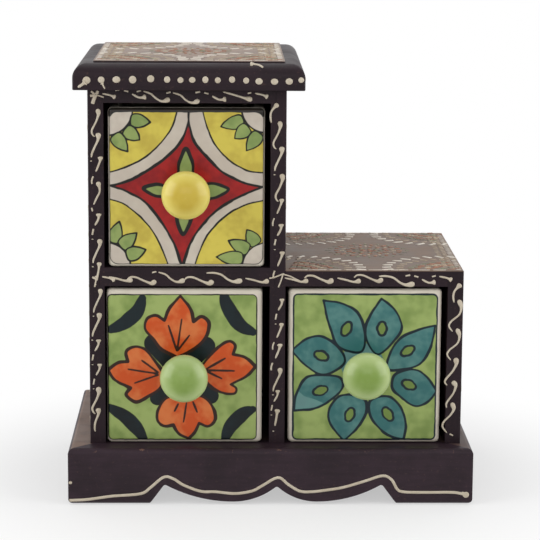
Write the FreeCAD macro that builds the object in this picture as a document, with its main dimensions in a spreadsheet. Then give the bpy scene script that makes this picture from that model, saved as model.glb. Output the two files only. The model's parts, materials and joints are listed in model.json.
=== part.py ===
# Spice drawer box: a stepped wooden case with a tower of two bays and one low bay beside it,
# standing on a scalloped plinth, with three glazed ceramic drawers.
# Millimetres. +Z is up, the drawers open towards -Y, and +X is to the viewer's right.
# The origin is the middle of the whole object's footprint, at floor level.
import FreeCAD
import Part
import Sketcher
import math
import os

doc = FreeCAD.newDocument("SpiceDrawerBox")

# Driving dimensions

SIZES = [
    # Case boards
    ("side_thickness", 6.8, "thickness of the three uprights"),
    ("case_depth", 100.0, "depth of the case, from front edges to back edges"),
    ("tower_bay_width", 72.2, "clear width of the two bays of the tower"),
    ("side_bay_width", 71.3, "clear width of the low bay beside the tower"),
    ("lower_bay_height", 70.8, "clear height of the two lower bays"),
    ("upper_bay_height", 72.0, "clear height of the upper bay"),
    ("shelf_thickness", 8.2, "thickness of the shelf between the tower's bays"),
    ("low_top_thickness", 7.2, "thickness of the board over the low bay"),
    ("tower_top_thickness", 6.0, "thickness of the board under the cap"),
    ("back_thickness", 3.0, "thickness of the two back panels"),
    ("housing_depth", 2.2, "depth of the grooves that carry the cross boards"),
    ("tongue_shoulder", 2.0, "shoulder over the tongue that holds the low bay's top board"),
    ("back_rebate_width", 3.4, "width of the rebates that take the back panels"),
    ("fit_clearance", 0.1, "play of a board in its housing or rebate"),
    ("case_arris_radius", 0.6, "easing of the case's outer edges"),
    # Plinth
    ("plinth_height", 25.0, "height of the plinth"),
    ("floor_thickness", 5.0, "thickness of the floor board let into the plinth"),
    ("floor_rebate_width", 2.5, "width of the rebate that carries the floor board"),
    ("ledge_front", 10.0, "ledge of the plinth in front of the case"),
    ("ledge_back", 2.0, "ledge of the plinth behind the case"),
    ("ledge_left", 9.3, "ledge of the plinth left of the case"),
    ("ledge_right", 4.8, "ledge of the plinth right of the case"),
    ("foot_length_left", 35.6, "left foot of the front apron"),
    ("foot_length_right", 33.4, "right foot of the front apron"),
    ("foot_length_side", 26.0, "feet of the side aprons"),
    ("ankle_run", 6.7, "slope from a foot up to the first peak, along the floor"),
    ("outer_peak_height", 9.1, "height of the peaks beside the feet"),
    ("centre_peak_height", 8.3, "height of the front apron's middle peak"),
    ("centre_peak_shift", 1.6, "middle peak, right of the middle between its neighbours"),
    ("lobe_height", 1.2, "height of the lowest point of each hanging lobe"),
    ("lobe_skew", 5.5, "lowest point of a front lobe, moved towards the middle peak"),
    ("peak_radius", 1.2, "rounding inside each peak"),
    ("plinth_arris_radius", 1.0, "easing of the plinth's outer edges"),
    # Cap
    ("cap_overhang_left", 6.0, "overhang of the cap left of the tower"),
    ("cap_overhang_right", 7.8, "overhang of the cap right of the tower"),
    ("cap_overhang_front", 6.0, "overhang of the cap in front of the tower"),
    ("cap_overhang_back", 8.0, "overhang of the cap behind the tower"),
    ("cap_edge_height", 5.2, "upright part of the cap's edge"),
    ("cap_round_radius", 6.0, "round-over above the cap's edge"),
    ("cap_corner_radius", 1.0, "easing of the cap's upright corners"),
    ("field_inset", 8.5, "raised field of the cap, in from the cap's edge"),
    ("field_rise", 1.2, "rise of the raised field above the round-over"),
    ("field_arris_radius", 0.4, "easing of the raised field's edge"),
    # Drawers
    ("face_recess", 0.4, "drawer faces behind the case's front edges"),
    ("drawer_back_gap", 4.6, "room behind a closed drawer"),
    ("glide_clearance", 0.2, "play under a drawer"),
    ("headroom_upper", 2.1, "gap over the upper drawer"),
    ("headroom_lower", 1.2, "gap over the lower drawer"),
    ("headroom_side", 1.2, "gap over the side drawer"),
    ("play_left_upper", 1.8, "gap left of the upper drawer"),
    ("play_right_upper", 2.5, "gap right of the upper drawer"),
    ("play_left_lower", 0.7, "gap left of the lower drawer"),
    ("play_right_lower", 3.2, "gap right of the lower drawer"),
    ("play_left_side", 1.4, "gap left of the side drawer"),
    ("play_right_side", 2.5, "gap right of the side drawer"),
    ("tub_wall", 4.5, "thickness of a drawer's side and back walls"),
    ("tub_front_wall", 5.5, "thickness of a drawer's front wall"),
    ("tub_floor", 5.0, "thickness of a drawer's floor"),
    ("tub_corner_radius", 2.4, "rounding of a drawer's upright outer corners"),
    ("tub_foot_radius", 2.0, "rounding round a drawer's underside"),
    ("tub_rim_radius", 1.8, "rounding of the outer edge of a drawer's rim"),
    ("tub_lip_radius", 1.0, "rounding of the inner edge of a drawer's rim"),
    ("hollow_corner_radius", 3.0, "rounding of a drawer's upright inner corners"),
    ("hollow_floor_radius", 2.0, "rounding round the floor inside a drawer"),
    # Knobs and their fittings
    ("knob_radius", 10.4, "radius of a knob at its widest circle"),
    ("knob_reach", 22.5, "reach of a knob from the drawer's face"),
    ("knob_widest_reach", 15.2, "widest circle of a knob, from the drawer's face"),
    ("knob_edge_radius", 5.0, "curve from the widest circle to the dome"),
    ("knob_under_radius", 7.0, "curve from the widest circle to the neck"),
    ("knob_neck_radius", 4.7, "radius of a knob's neck"),
    ("knob_neck_reach", 4.0, "narrowest circle of the neck, from the drawer's face"),
    ("knob_foot_radius", 6.2, "radius of a knob's foot on the drawer's face"),
    ("knob_drop_upper", 0.9, "knob below the middle of the upper drawer's face"),
    ("knob_drop_lower", 2.0, "knob below the middle of the lower drawer's face"),
    ("knob_drop_side", 0.9, "knob below the middle of the side drawer's face"),
    ("knob_bore_depth", 11.0, "depth of the bore that the stud is cemented into"),
    ("stud_radius", 2.0, "radius of the stud"),
    ("stud_cement_gap", 0.25, "cement round the stud inside the knob"),
    ("stud_hole_clearance", 0.5, "play of the stud in the drawer's front wall"),
    ("stud_end", 1.5, "length of the stud beyond the nut"),
    ("washer_radius", 5.0, "radius of the washer inside the front wall"),
    ("washer_thickness", 1.0, "thickness of the washer"),
    ("nut_flats", 7.0, "width of the nut across its flats"),
    ("nut_thickness", 3.2, "thickness of the nut"),
    ("nut_clearance", 0.05, "play of the stud in the nut and the washer"),
    # Screws and pins
    ("screw_radius", 1.3, "radius of a screw's shank"),
    ("screw_head_rise", 1.5, "height of a countersunk screw head"),
    ("screw_head_slope", 40.0, "slope of a countersunk screw head, in degrees"),
    ("screw_grip", 11.0, "length of a plinth screw inside its upright"),
    ("cap_screw_grip", 7.0, "length of a cap screw inside the cap"),
    ("screw_bore_radius", 2.8, "radius of the bores that lead up to the plinth screws"),
    ("screw_bore_margin", 1.2, "wood between a bore and the front or back member of the plinth"),
    ("cap_screw_inset", 14.0, "cap screws, in from the sides of the upper bay"),
    ("cap_screw_setback", 20.0, "cap screws, in from the case's front and back edges"),
    ("hole_clearance", 0.02, "play of a screw or pin in its hole"),
    ("hole_end_play", 0.3, "hole beyond the point of a screw or pin"),
    ("pin_radius", 0.55, "radius of a panel pin's shank"),
    ("pin_head_radius", 1.1, "radius of a panel pin's head"),
    ("pin_head_rise", 0.5, "thickness of a panel pin's head"),
    ("pin_grip", 7.5, "length of a panel pin inside its upright"),
    ("pin_inset", 15.0, "panel pins, in from the ends of the panels"),
]

# Places and lengths that follow from the driving dimensions

LAYOUT = [
    ("case_width", "3 * Sizes.side_thickness + Sizes.tower_bay_width + Sizes.side_bay_width"),
    ("tower_width", "2 * Sizes.side_thickness + Sizes.tower_bay_width"),
    ("plinth_width", "Sizes.ledge_left + case_width + Sizes.ledge_right"),
    ("plinth_depth", "Sizes.ledge_front + Sizes.case_depth + Sizes.ledge_back"),
    ("cap_width", "Sizes.cap_overhang_left + tower_width + Sizes.cap_overhang_right"),
    ("cap_depth", "Sizes.cap_overhang_front + Sizes.case_depth + Sizes.cap_overhang_back"),
    ("left_reach", "max(Sizes.ledge_left; Sizes.cap_overhang_left)"),
    ("right_reach", "max(case_width + Sizes.ledge_right; tower_width + Sizes.cap_overhang_right)"),
    ("case_left", "(left_reach - right_reach) / 2"),
    ("tower_bay_left", "case_left + Sizes.side_thickness"),
    ("divider_left", "tower_bay_left + Sizes.tower_bay_width"),
    ("side_bay_left", "divider_left + Sizes.side_thickness"),
    ("low_side_left", "side_bay_left + Sizes.side_bay_width"),
    ("plinth_left", "case_left - Sizes.ledge_left"),
    ("plinth_right", "plinth_left + plinth_width"),
    ("knob_front", "Sizes.knob_reach - Sizes.face_recess"),
    ("front_reach", "max(knob_front; Sizes.ledge_front; Sizes.cap_overhang_front)"),
    ("back_reach", "Sizes.case_depth + max(Sizes.cap_overhang_back; Sizes.ledge_back)"),
    ("case_front", "(front_reach - back_reach) / 2"),
    ("case_back", "case_front + Sizes.case_depth"),
    ("bay_depth", "Sizes.case_depth - Sizes.back_thickness"),
    ("plinth_front", "case_front - Sizes.ledge_front"),
    ("plinth_back", "plinth_front + plinth_depth"),
    ("half_lap", "Sizes.low_top_thickness / 2"),
    ("tongue_thickness", "Sizes.low_top_thickness - Sizes.tongue_shoulder"),
    ("lower_bay_top", "Sizes.plinth_height + Sizes.lower_bay_height"),
    ("shelf_top", "lower_bay_top + Sizes.shelf_thickness"),
    ("upper_bay_top", "shelf_top + Sizes.upper_bay_height"),
    ("cap_seat", "upper_bay_top + Sizes.tower_top_thickness"),
    ("tower_height", "cap_seat - Sizes.plinth_height"),
    ("panel_split", "Sizes.lower_bay_height + half_lap"),
    ("screw_seat", "Sizes.plinth_height - Sizes.floor_thickness"),
    # The plinth's members reach past the screw bores, and carry the floor board beyond them
    ("screw_line", "max(Sizes.ledge_left; Sizes.ledge_right) + Sizes.side_thickness / 2"),
    ("rebate_shoulder", "screw_line + Sizes.screw_bore_radius"),
    ("member_width", "rebate_shoulder + Sizes.floor_rebate_width"),
    ("floor_inset", "rebate_shoulder + Sizes.fit_clearance"),
    ("screw_row", "member_width + Sizes.screw_bore_margin + Sizes.screw_bore_radius"),
    ("front_screws", "screw_row - Sizes.ledge_front"),
    ("back_screws", "Sizes.case_depth + Sizes.ledge_back - screw_row"),
    ("back_cap_screws", "Sizes.case_depth - Sizes.cap_screw_setback"),
    ("cap_base_height", "Sizes.cap_edge_height + Sizes.cap_round_radius"),
    ("tub_depth", "bay_depth - Sizes.face_recess - Sizes.drawer_back_gap"),
    ("tub_front", "case_front + Sizes.face_recess"),
    # Front apron: feet, three peaks and the two lobes between them
    ("peak_one", "Sizes.foot_length_left + Sizes.ankle_run"),
    ("peak_three", "plinth_width - Sizes.foot_length_right - Sizes.ankle_run"),
    ("peak_two", "(peak_one + peak_three) / 2 + Sizes.centre_peak_shift"),
    ("lobe_one", "(peak_one + peak_two) / 2 + Sizes.lobe_skew"),
    ("lobe_two", "(peak_two + peak_three) / 2 - Sizes.lobe_skew"),
    # Side aprons: feet, two peaks and one lobe
    ("side_peak_one", "Sizes.foot_length_side + Sizes.ankle_run"),
    ("side_peak_two", "plinth_depth - side_peak_one"),
    # Knob: the curves meet without a corner
    ("flare_step", "Sizes.knob_foot_radius - Sizes.knob_neck_radius"),
    ("flare_radius", "(flare_step^2 + Sizes.knob_neck_reach^2) / (2 * flare_step)"),
    ("neck_step", "Sizes.knob_radius - Sizes.knob_neck_radius"),
    ("neck_rise", "Sizes.knob_widest_reach - Sizes.knob_neck_reach"),
    ("curve_sum", "(neck_step^2 + neck_rise^2) / (2 * neck_step)"),
    ("neck_curve_radius", "curve_sum - Sizes.knob_under_radius"),
    ("turn_share", "Sizes.knob_under_radius / curve_sum"),
    ("turn_radius", "Sizes.knob_radius - Sizes.knob_under_radius"
                    " + turn_share * (curve_sum - neck_step)"),
    ("turn_reach", "Sizes.knob_widest_reach - turn_share * neck_rise"),
    ("dome_run", "Sizes.knob_radius - Sizes.knob_edge_radius"),
    ("dome_rise", "Sizes.knob_reach - Sizes.knob_widest_reach"),
    ("dome_radius", "(dome_run^2 + dome_rise^2 - Sizes.knob_edge_radius^2)"
                    " / (2 * (dome_rise - Sizes.knob_edge_radius))"),
    ("brow_share", "dome_radius / (dome_radius - Sizes.knob_edge_radius)"),
    ("brow_radius", "dome_run * brow_share"),
    ("brow_reach", "Sizes.knob_reach - dome_radius + (dome_radius - dome_rise) * brow_share"),
    ("stud_bore_radius", "Sizes.stud_radius + Sizes.stud_cement_gap"),
    ("nut_bore_radius", "Sizes.stud_radius + Sizes.nut_clearance"),
]

sizes = doc.addObject("Spreadsheet::Sheet", "Sizes")
for row, (alias, size, note) in enumerate(SIZES, start=1):
    sizes.set(f"A{row}", note)
    sizes.set(f"B{row}", str(size))
    sizes.setAlias(f"B{row}", alias)

layout = doc.addObject("Spreadsheet::Sheet", "Layout")
reading = doc.addObject("Spreadsheet::Sheet", "Reading")
for row, (alias, formula) in enumerate(LAYOUT, start=1):
    layout.set(f"A{row}", alias.replace("_", " "))
    layout.set(f"B{row}", "=" + formula)
    layout.setAlias(f"B{row}", alias)
doc.recompute()

# Sketches and features

PLANE_NORMAL = {"XY_Plane": "+Z", "XZ_Plane": "-Y", "YZ_Plane": "+X"}
UP = FreeCAD.Vector(0, 0, 1)
TOUCH = 0.01
parts = []


def value(expression):
    """The present value of an expression over the two sheets, read back from a cell."""
    reading.set("A1", "=" + expression)
    reading.recompute()
    return float(reading.get("A1"))


def new_body(label, place, turn=0, many=False):
    """A body whose own origin stands at a place given by three expressions."""
    body = doc.addObject("PartDesign::Body", label)
    body.Label = label
    body.AllowCompound = many
    body.Placement = FreeCAD.Placement(FreeCAD.Vector(), FreeCAD.Rotation(UP, turn))
    for axis, expression in zip("xyz", place):
        body.setExpression(f"Placement.Base.{axis}", expression)
    parts.append(body)
    return body


def new_sketch(body, name, plane, level="0"):
    """A sketch parallel to a plane of the body, at a level along the axis that crosses it."""
    sketch = body.newObject("Sketcher::SketchObject", f"{body.Label}_{name}_sketch")
    support = next(item for item in body.Origin.OriginFeatures if item.Role == plane)
    sketch.AttachmentSupport = [(support, "")]
    sketch.MapMode = "FlatFace"
    sign = "-" if PLANE_NORMAL[plane].startswith("-") else ""
    sketch.setExpression("AttachmentOffset.Base.z", f"{sign}({level})")
    return sketch


def bind(sketch, kind, places, expression):
    """Add a dimension to a sketch and tie it to an expression."""
    index = sketch.addConstraint(Sketcher.Constraint(kind, *places, value(expression)))
    sketch.setExpression(f"Constraints[{index}]", expression)


def hold(sketch, edge, end, point):
    """Tie one point of a sketch to a pair of expressions."""
    bind(sketch, "DistanceX", (-1, 1, edge, end), point[0])
    bind(sketch, "DistanceY", (-1, 1, edge, end), point[1])


def spot(point):
    return FreeCAD.Vector(value(point[0]), value(point[1]), 0)


def arc_edge(start, end, radius, turn):
    """An arc of under half a circle that turns left or right on its way from start to end."""
    chord = end - start
    middle = (start + end) / 2
    leftwards = FreeCAD.Vector(-chord.y, chord.x, 0).normalize()
    side = 1 if turn == "left" else -1
    centre = middle + leftwards * side * math.sqrt(radius ** 2 - (chord.Length / 2) ** 2)
    first, last = (start, end) if turn == "left" else (end, start)
    angles = [math.atan2(point.y - centre.y, point.x - centre.x) for point in (first, last)]
    if angles[1] < angles[0]:
        angles[1] += 2 * math.pi
    return Part.ArcOfCircle(Part.Circle(centre, UP, radius), *angles)


def draw_path(sketch, stops):
    """A closed path. A stop is a pair of expressions, then a radius and a turn where an arc leaves it."""
    base = sketch.GeometryCount
    count = len(stops)
    starts = []
    ends = []
    for index, stop in enumerate(stops):
        here, following = spot(stop), spot(stops[(index + 1) % count])
        bent_right = len(stop) > 2 and stop[3] == "right"
        starts.append(2 if bent_right else 1)
        ends.append(1 if bent_right else 2)
        if len(stop) > 2:
            sketch.addGeometry(arc_edge(here, following, value(stop[2]), stop[3]), False)
        else:
            sketch.addGeometry(Part.LineSegment(here, following), False)
    for index, stop in enumerate(stops):
        following = (index + 1) % count
        joint = (base + index, ends[index], base + following, starts[following])
        sketch.addConstraint(Sketcher.Constraint("Coincident", *joint))
        hold(sketch, base + index, starts[index], stop)
        if len(stop) > 2:
            bind(sketch, "Radius", (base + index,), stop[2])


def draw_rectangle(sketch, left, bottom, right, top):
    draw_path(sketch, [(left, bottom), (right, bottom), (right, top), (left, top)])


def draw_circles(sketch, centres, radius):
    for centre in centres:
        edge = sketch.addGeometry(Part.Circle(spot(centre), UP, value(radius)), False)
        hold(sketch, edge, 3, centre)
        bind(sketch, "Radius", (edge,), radius)


def add_feature(body, kind, name, sketch):
    feature = body.newObject(f"PartDesign::{kind}", f"{body.Label}_{name}")
    feature.Profile = sketch
    return feature


def normal_of(sketch):
    return PLANE_NORMAL[sketch.AttachmentSupport[0][0].Role]


def pad(body, name, sketch, length, towards):
    feature = add_feature(body, "Pad", name, sketch)
    feature.setExpression("Length", length)
    feature.Reversed = towards != normal_of(sketch)
    return feature


def pocket(body, name, sketch, towards, depth=None):
    """A pocket of some depth, or right through the body."""
    feature = add_feature(body, "Pocket", name, sketch)
    feature.Reversed = towards == normal_of(sketch)
    if depth is None:
        feature.Type = "ThroughAll"
    else:
        feature.setExpression("Length", depth)
    return feature


def board(body, width, depth, thickness):
    """A rectangular board that lies flat, from the body's origin."""
    plan = new_sketch(body, "plan", "XY_Plane")
    draw_rectangle(plan, "0", "0", width, depth)
    pad(body, "board", plan, thickness, "+Z")


def near(one, other):
    return abs(one - other) < TOUCH


def runs_along(box, axis):
    """True where an edge's bounding box is a line along one axis."""
    lengths = {"X": box.XLength, "Y": box.YLength, "Z": box.ZLength}
    return lengths.pop(axis) > TOUCH and max(lengths.values()) < TOUCH


def fillet(body, name, radius, wanted):
    """Round the edges whose bounding boxes a test picks."""
    doc.recompute()
    base = body.Tip
    edges = [f"Edge{number}" for number, edge in enumerate(base.Shape.Edges, start=1)
             if wanted(edge.BoundBox)]
    feature = body.newObject("PartDesign::Fillet", f"{body.Label}_{name}")
    feature.Base = (base, edges)
    feature.setExpression("Radius", radius)
    return feature


# Screws, pins and their holes

def screw_group(label, place, centres, length):
    """Countersunk screws that point up, with their heads level with the body's origin."""
    body = new_body(label, place, many=True)
    circles = new_sketch(body, "shanks", "XY_Plane", "Sizes.screw_head_rise")
    draw_circles(circles, centres, "Sizes.screw_radius")
    pad(body, "shank", circles, f"{length} - Sizes.screw_head_rise", "+Z")
    head = pad(body, "head", circles, "Sizes.screw_head_rise", "-Z")
    head.setExpression("TaperAngle", "Sizes.screw_head_slope")


def clearance_holes(body, name, centres, seat):
    """Holes right through a board, countersunk from below at the level of the screws' seat."""
    circles = new_sketch(body, name, "XY_Plane", f"{seat} + Sizes.screw_head_rise")
    draw_circles(circles, centres, "Sizes.screw_radius + Sizes.hole_clearance")
    pocket(body, name + "_shank_holes", circles, "+Z")
    sink = pocket(body, name + "_countersinks", circles, "-Z", "Sizes.screw_head_rise")
    sink.setExpression("TaperAngle", "Sizes.screw_head_slope")


def pilot_holes(body, name, centres, grip):
    """Blind holes in the body's lower face."""
    circles = new_sketch(body, name, "XY_Plane")
    draw_circles(circles, centres, "Sizes.screw_radius + Sizes.hole_clearance")
    pocket(body, name + "_holes", circles, "+Z", f"{grip} + Sizes.hole_end_play")


def pin_group(label, centres):
    """Panel pins with their heads on the back panels."""
    body = new_body(label, ("Layout.case_left", "Layout.case_back", "Sizes.plinth_height"), many=True)
    shanks = new_sketch(body, "shanks", "XZ_Plane")
    draw_circles(shanks, centres, "Sizes.pin_radius")
    pad(body, "shank", shanks, "Sizes.back_thickness + Sizes.pin_grip", "-Y")
    heads = new_sketch(body, "heads", "XZ_Plane")
    draw_circles(heads, centres, "Sizes.pin_head_radius")
    pad(body, "head", heads, "Sizes.pin_head_rise", "+Y")


def pin_holes(body, centres, level="0", depth=None, towards="+Y"):
    circles = new_sketch(body, "pins", "XZ_Plane", level)
    draw_circles(circles, centres, "Sizes.pin_radius + Sizes.hole_clearance")
    pocket(body, "pin_holes", circles, towards, depth)


# Plinth

def level_arc(peak, low):
    """Radius of the arc through a peak that runs level at the low point of a lobe."""
    run = f"({peak[0]} - {low[0]})"
    rise = f"({peak[1]} - {low[1]})"
    return f"({run}^2 + {rise}^2) / (2 * {rise})"


def scallop_stops(length, first_foot, last_foot, peaks, lows):
    """The outline sawn out of an apron: up from a foot, peak, lobe, peak, and down to the other foot."""
    stops = [(first_foot, "0")]
    for peak, low, following in zip(peaks, lows, peaks[1:]):
        stops.append((*peak, level_arc(peak, low), "left"))
        stops.append((*low, level_arc(following, low), "left"))
    stops.append(peaks[-1])
    stops.append((f"{length} - {last_foot}", "0"))
    return stops


def plinth_member(label, corner, turn, length, scallops=None, screws=()):
    """A mitred strip whose outer face lies along its own X axis, turned into place."""
    body = new_body(label, corner, turn)
    plan = new_sketch(body, "plan", "XY_Plane")
    draw_path(plan, [
        ("0", "0"),
        (length, "0"),
        (f"{length} - Layout.member_width", "Layout.member_width"),
        ("Layout.member_width", "Layout.member_width"),
    ])
    pad(body, "strip", plan, "Sizes.plinth_height", "+Z")
    rebate = new_sketch(body, "rebate", "XY_Plane", "Sizes.plinth_height")
    draw_rectangle(rebate, "0", "Layout.rebate_shoulder", length, "Layout.member_width")
    pocket(body, "rebate", rebate, "-Z", "Sizes.floor_thickness")
    if scallops:
        outline = new_sketch(body, "scallops", "XZ_Plane")
        draw_path(outline, scallops)
        pocket(body, "scallops", outline, "+Y")
        peaks = [value(stop[1]) for stop in scallops if value(stop[1]) > value("Sizes.lobe_height")]
        fillet(body, "peaks", "Sizes.peak_radius",
               lambda box: runs_along(box, "Y") and any(near(box.ZMin, peak) for peak in peaks))
    levels = (0, value("Sizes.plinth_height"))
    fillet(body, "arrises", "Sizes.plinth_arris_radius",
           lambda box: runs_along(box, "X") and near(box.YMin, 0)
           and any(near(box.ZMin, level) for level in levels))
    if screws:
        bores = new_sketch(body, "bores", "XY_Plane")
        draw_circles(bores, screws, "Sizes.screw_bore_radius")
        pocket(body, "bores", bores, "+Z", "Layout.screw_seat")
        clearance_holes(body, "screw", screws, "Layout.screw_seat")


def make_plinth():
    outer = "Sizes.outer_peak_height"
    front_peaks = [("Layout.peak_one", outer), ("Layout.peak_two", "Sizes.centre_peak_height"),
                   ("Layout.peak_three", outer)]
    front_lows = [("Layout.lobe_one", "Sizes.lobe_height"), ("Layout.lobe_two", "Sizes.lobe_height")]
    front = scallop_stops("Layout.plinth_width", "Sizes.foot_length_left", "Sizes.foot_length_right",
                          front_peaks, front_lows)
    side_peaks = [("Layout.side_peak_one", outer), ("Layout.side_peak_two", outer)]
    side = scallop_stops("Layout.plinth_depth", "Sizes.foot_length_side", "Sizes.foot_length_side",
                         side_peaks, [("Layout.plinth_depth / 2", "Sizes.lobe_height")])
    under_left = "Sizes.ledge_left + Sizes.side_thickness / 2"
    under_right = "Sizes.ledge_right + Sizes.side_thickness / 2"
    rows = ["Layout.screw_row", "Layout.plinth_depth - Layout.screw_row"]
    plinth_member("plinth_front_apron", ("Layout.plinth_left", "Layout.plinth_front", "0"), 0,
                  "Layout.plinth_width", front)
    plinth_member("plinth_right_apron", ("Layout.plinth_right", "Layout.plinth_front", "0"), 90,
                  "Layout.plinth_depth", side, [(row, under_right) for row in rows])
    plinth_member("plinth_back_rail", ("Layout.plinth_right", "Layout.plinth_back", "0"), 180,
                  "Layout.plinth_width")
    plinth_member("plinth_left_apron", ("Layout.plinth_left", "Layout.plinth_back", "0"), 270,
                  "Layout.plinth_depth", side, [(row, under_left) for row in rows])


# Rows of plinth screws, from the case's front edges
SCREW_ROWS = ["Layout.front_screws", "Layout.back_screws"]


def make_floor_board():
    body = new_body("floor_board", ("Layout.plinth_left + Layout.floor_inset",
                                    "Layout.plinth_front + Layout.floor_inset", "Layout.screw_seat"))
    board(body, "Layout.plinth_width - 2 * Layout.floor_inset",
          "Layout.plinth_depth - 2 * Layout.floor_inset", "Sizes.floor_thickness")
    across = "Layout.divider_left + Sizes.side_thickness / 2 - Layout.plinth_left - Layout.floor_inset"
    front = "Sizes.ledge_front - Layout.floor_inset"
    clearance_holes(body, "screw", [(across, f"{front} + {row}") for row in SCREW_ROWS], "0")


# Case

LOWER_PIN_HEIGHTS = ["Sizes.pin_inset", "Layout.panel_split - Sizes.pin_inset"]
TOWER_PIN_HEIGHTS = ["Layout.panel_split + Sizes.pin_inset",
                     "(Layout.panel_split + Layout.tower_height) / 2",
                     "Layout.tower_height - Sizes.pin_inset"]


def spots_at(across, heights):
    return [(across, height) for height in heights]


def upright(label, left, height, plan):
    """An upright board with its own origin at its lower front left corner."""
    body = new_body(label, (left, "Layout.case_front", "Sizes.plinth_height"))
    outline = new_sketch(body, "plan", "XY_Plane")
    draw_path(outline, plan)
    pad(body, "board", outline, height, "+Z")
    pilot_holes(body, "screw", [("Sizes.side_thickness / 2", row) for row in SCREW_ROWS],
                "Sizes.screw_grip")
    return body


def housing(body, name, face, towards, bottom, thickness, depth="Layout.bay_depth"):
    """A groove across a face of an upright, that a cross board of some thickness rests in."""
    groove = new_sketch(body, name, "YZ_Plane", face)
    draw_rectangle(groove, "0", bottom, depth, f"{bottom} + {thickness} + Sizes.fit_clearance")
    pocket(body, name, groove, towards, "Sizes.housing_depth")


def shelf_and_top_housings(body, face, towards):
    housing(body, "shelf_housing", face, towards, "Sizes.lower_bay_height", "Sizes.shelf_thickness")
    housing(body, "top_rebate", face, towards, "Layout.tower_height - Sizes.tower_top_thickness",
            "Sizes.tower_top_thickness")


def uprights_pin_holes(body, centres):
    pin_holes(body, centres, "Layout.bay_depth", "Sizes.pin_grip + Sizes.hole_end_play", "-Y")


def make_tower_left_side():
    thickness = "Sizes.side_thickness"
    rebate = "Sizes.side_thickness - Sizes.back_rebate_width"
    body = upright("tower_left_side", "Layout.case_left", "Layout.tower_height", [
        ("0", "0"),
        (thickness, "0"),
        (thickness, "Layout.bay_depth"),
        (rebate, "Layout.bay_depth"),
        (rebate, "Sizes.case_depth"),
        ("0", "Sizes.case_depth"),
    ])
    shelf_and_top_housings(body, thickness, "-X")
    uprights_pin_holes(body, spots_at("Sizes.side_thickness - Sizes.back_rebate_width / 2",
                                      LOWER_PIN_HEIGHTS + TOWER_PIN_HEIGHTS))
    fillet(body, "arrises", "Sizes.case_arris_radius",
           lambda box: runs_along(box, "Z") and near(box.XMin, 0))


RIGHT_HAND_PLAN = [
    ("0", "0"),
    ("Sizes.side_thickness", "0"),
    ("Sizes.side_thickness", "Sizes.case_depth"),
    ("Sizes.back_rebate_width", "Sizes.case_depth"),
    ("Sizes.back_rebate_width", "Layout.bay_depth"),
    ("0", "Layout.bay_depth"),
]


def make_centre_divider():
    """Right side of the tower, which also parts the lower bays. The lower back panel passes behind it."""
    body = upright("centre_divider", "Layout.divider_left", "Layout.tower_height", RIGHT_HAND_PLAN)
    passage = new_sketch(body, "panel_passage", "YZ_Plane")
    draw_rectangle(passage, "Layout.bay_depth", "0", "Sizes.case_depth", "Layout.panel_split")
    pocket(body, "panel_passage", passage, "+X")
    shelf_and_top_housings(body, "0", "+X")
    housing(body, "low_top_housing", "Sizes.side_thickness", "-X", "Sizes.lower_bay_height",
            "Layout.tongue_thickness", "Sizes.case_depth")
    uprights_pin_holes(body, spots_at("Sizes.side_thickness / 2", LOWER_PIN_HEIGHTS)
                       + spots_at("Sizes.back_rebate_width / 2", TOWER_PIN_HEIGHTS))
    outer = value("Sizes.side_thickness")
    tongue = value("Sizes.lower_bay_height + Layout.tongue_thickness")
    fillet(body, "arrises", "Sizes.case_arris_radius",
           lambda box: runs_along(box, "Z") and near(box.XMin, outer) and box.ZMin > tongue)


def make_low_right_side():
    body = upright("low_right_side", "Layout.low_side_left", "Layout.panel_split", RIGHT_HAND_PLAN)
    uprights_pin_holes(body, spots_at("Sizes.back_rebate_width / 2", LOWER_PIN_HEIGHTS))
    outer = value("Sizes.side_thickness")
    fillet(body, "arrises", "Sizes.case_arris_radius",
           lambda box: runs_along(box, "Z") and near(box.XMin, outer))


# Rows of cap screws, from the case's front edges
CAP_SCREW_ROWS = ["Sizes.cap_screw_setback", "Layout.back_cap_screws"]


def make_cross_boards():
    start = "Layout.tower_bay_left - Sizes.housing_depth + Sizes.fit_clearance"
    width = "Sizes.tower_bay_width + 2 * Sizes.housing_depth - 2 * Sizes.fit_clearance"
    shelf = new_body("middle_shelf", (start, "Layout.case_front", "Layout.lower_bay_top"))
    board(shelf, width, "Layout.bay_depth", "Sizes.shelf_thickness")
    top = new_body("tower_top_board", (start, "Layout.case_front", "Layout.upper_bay_top"))
    board(top, width, "Layout.bay_depth", "Sizes.tower_top_thickness")
    inset = "Sizes.housing_depth - Sizes.fit_clearance"
    left = f"{inset} + Sizes.cap_screw_inset"
    right = f"{inset} + Sizes.tower_bay_width - Sizes.cap_screw_inset"
    clearance_holes(top, "screw", [(column, row) for column in (left, right)
                                   for row in CAP_SCREW_ROWS], "0")


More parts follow.
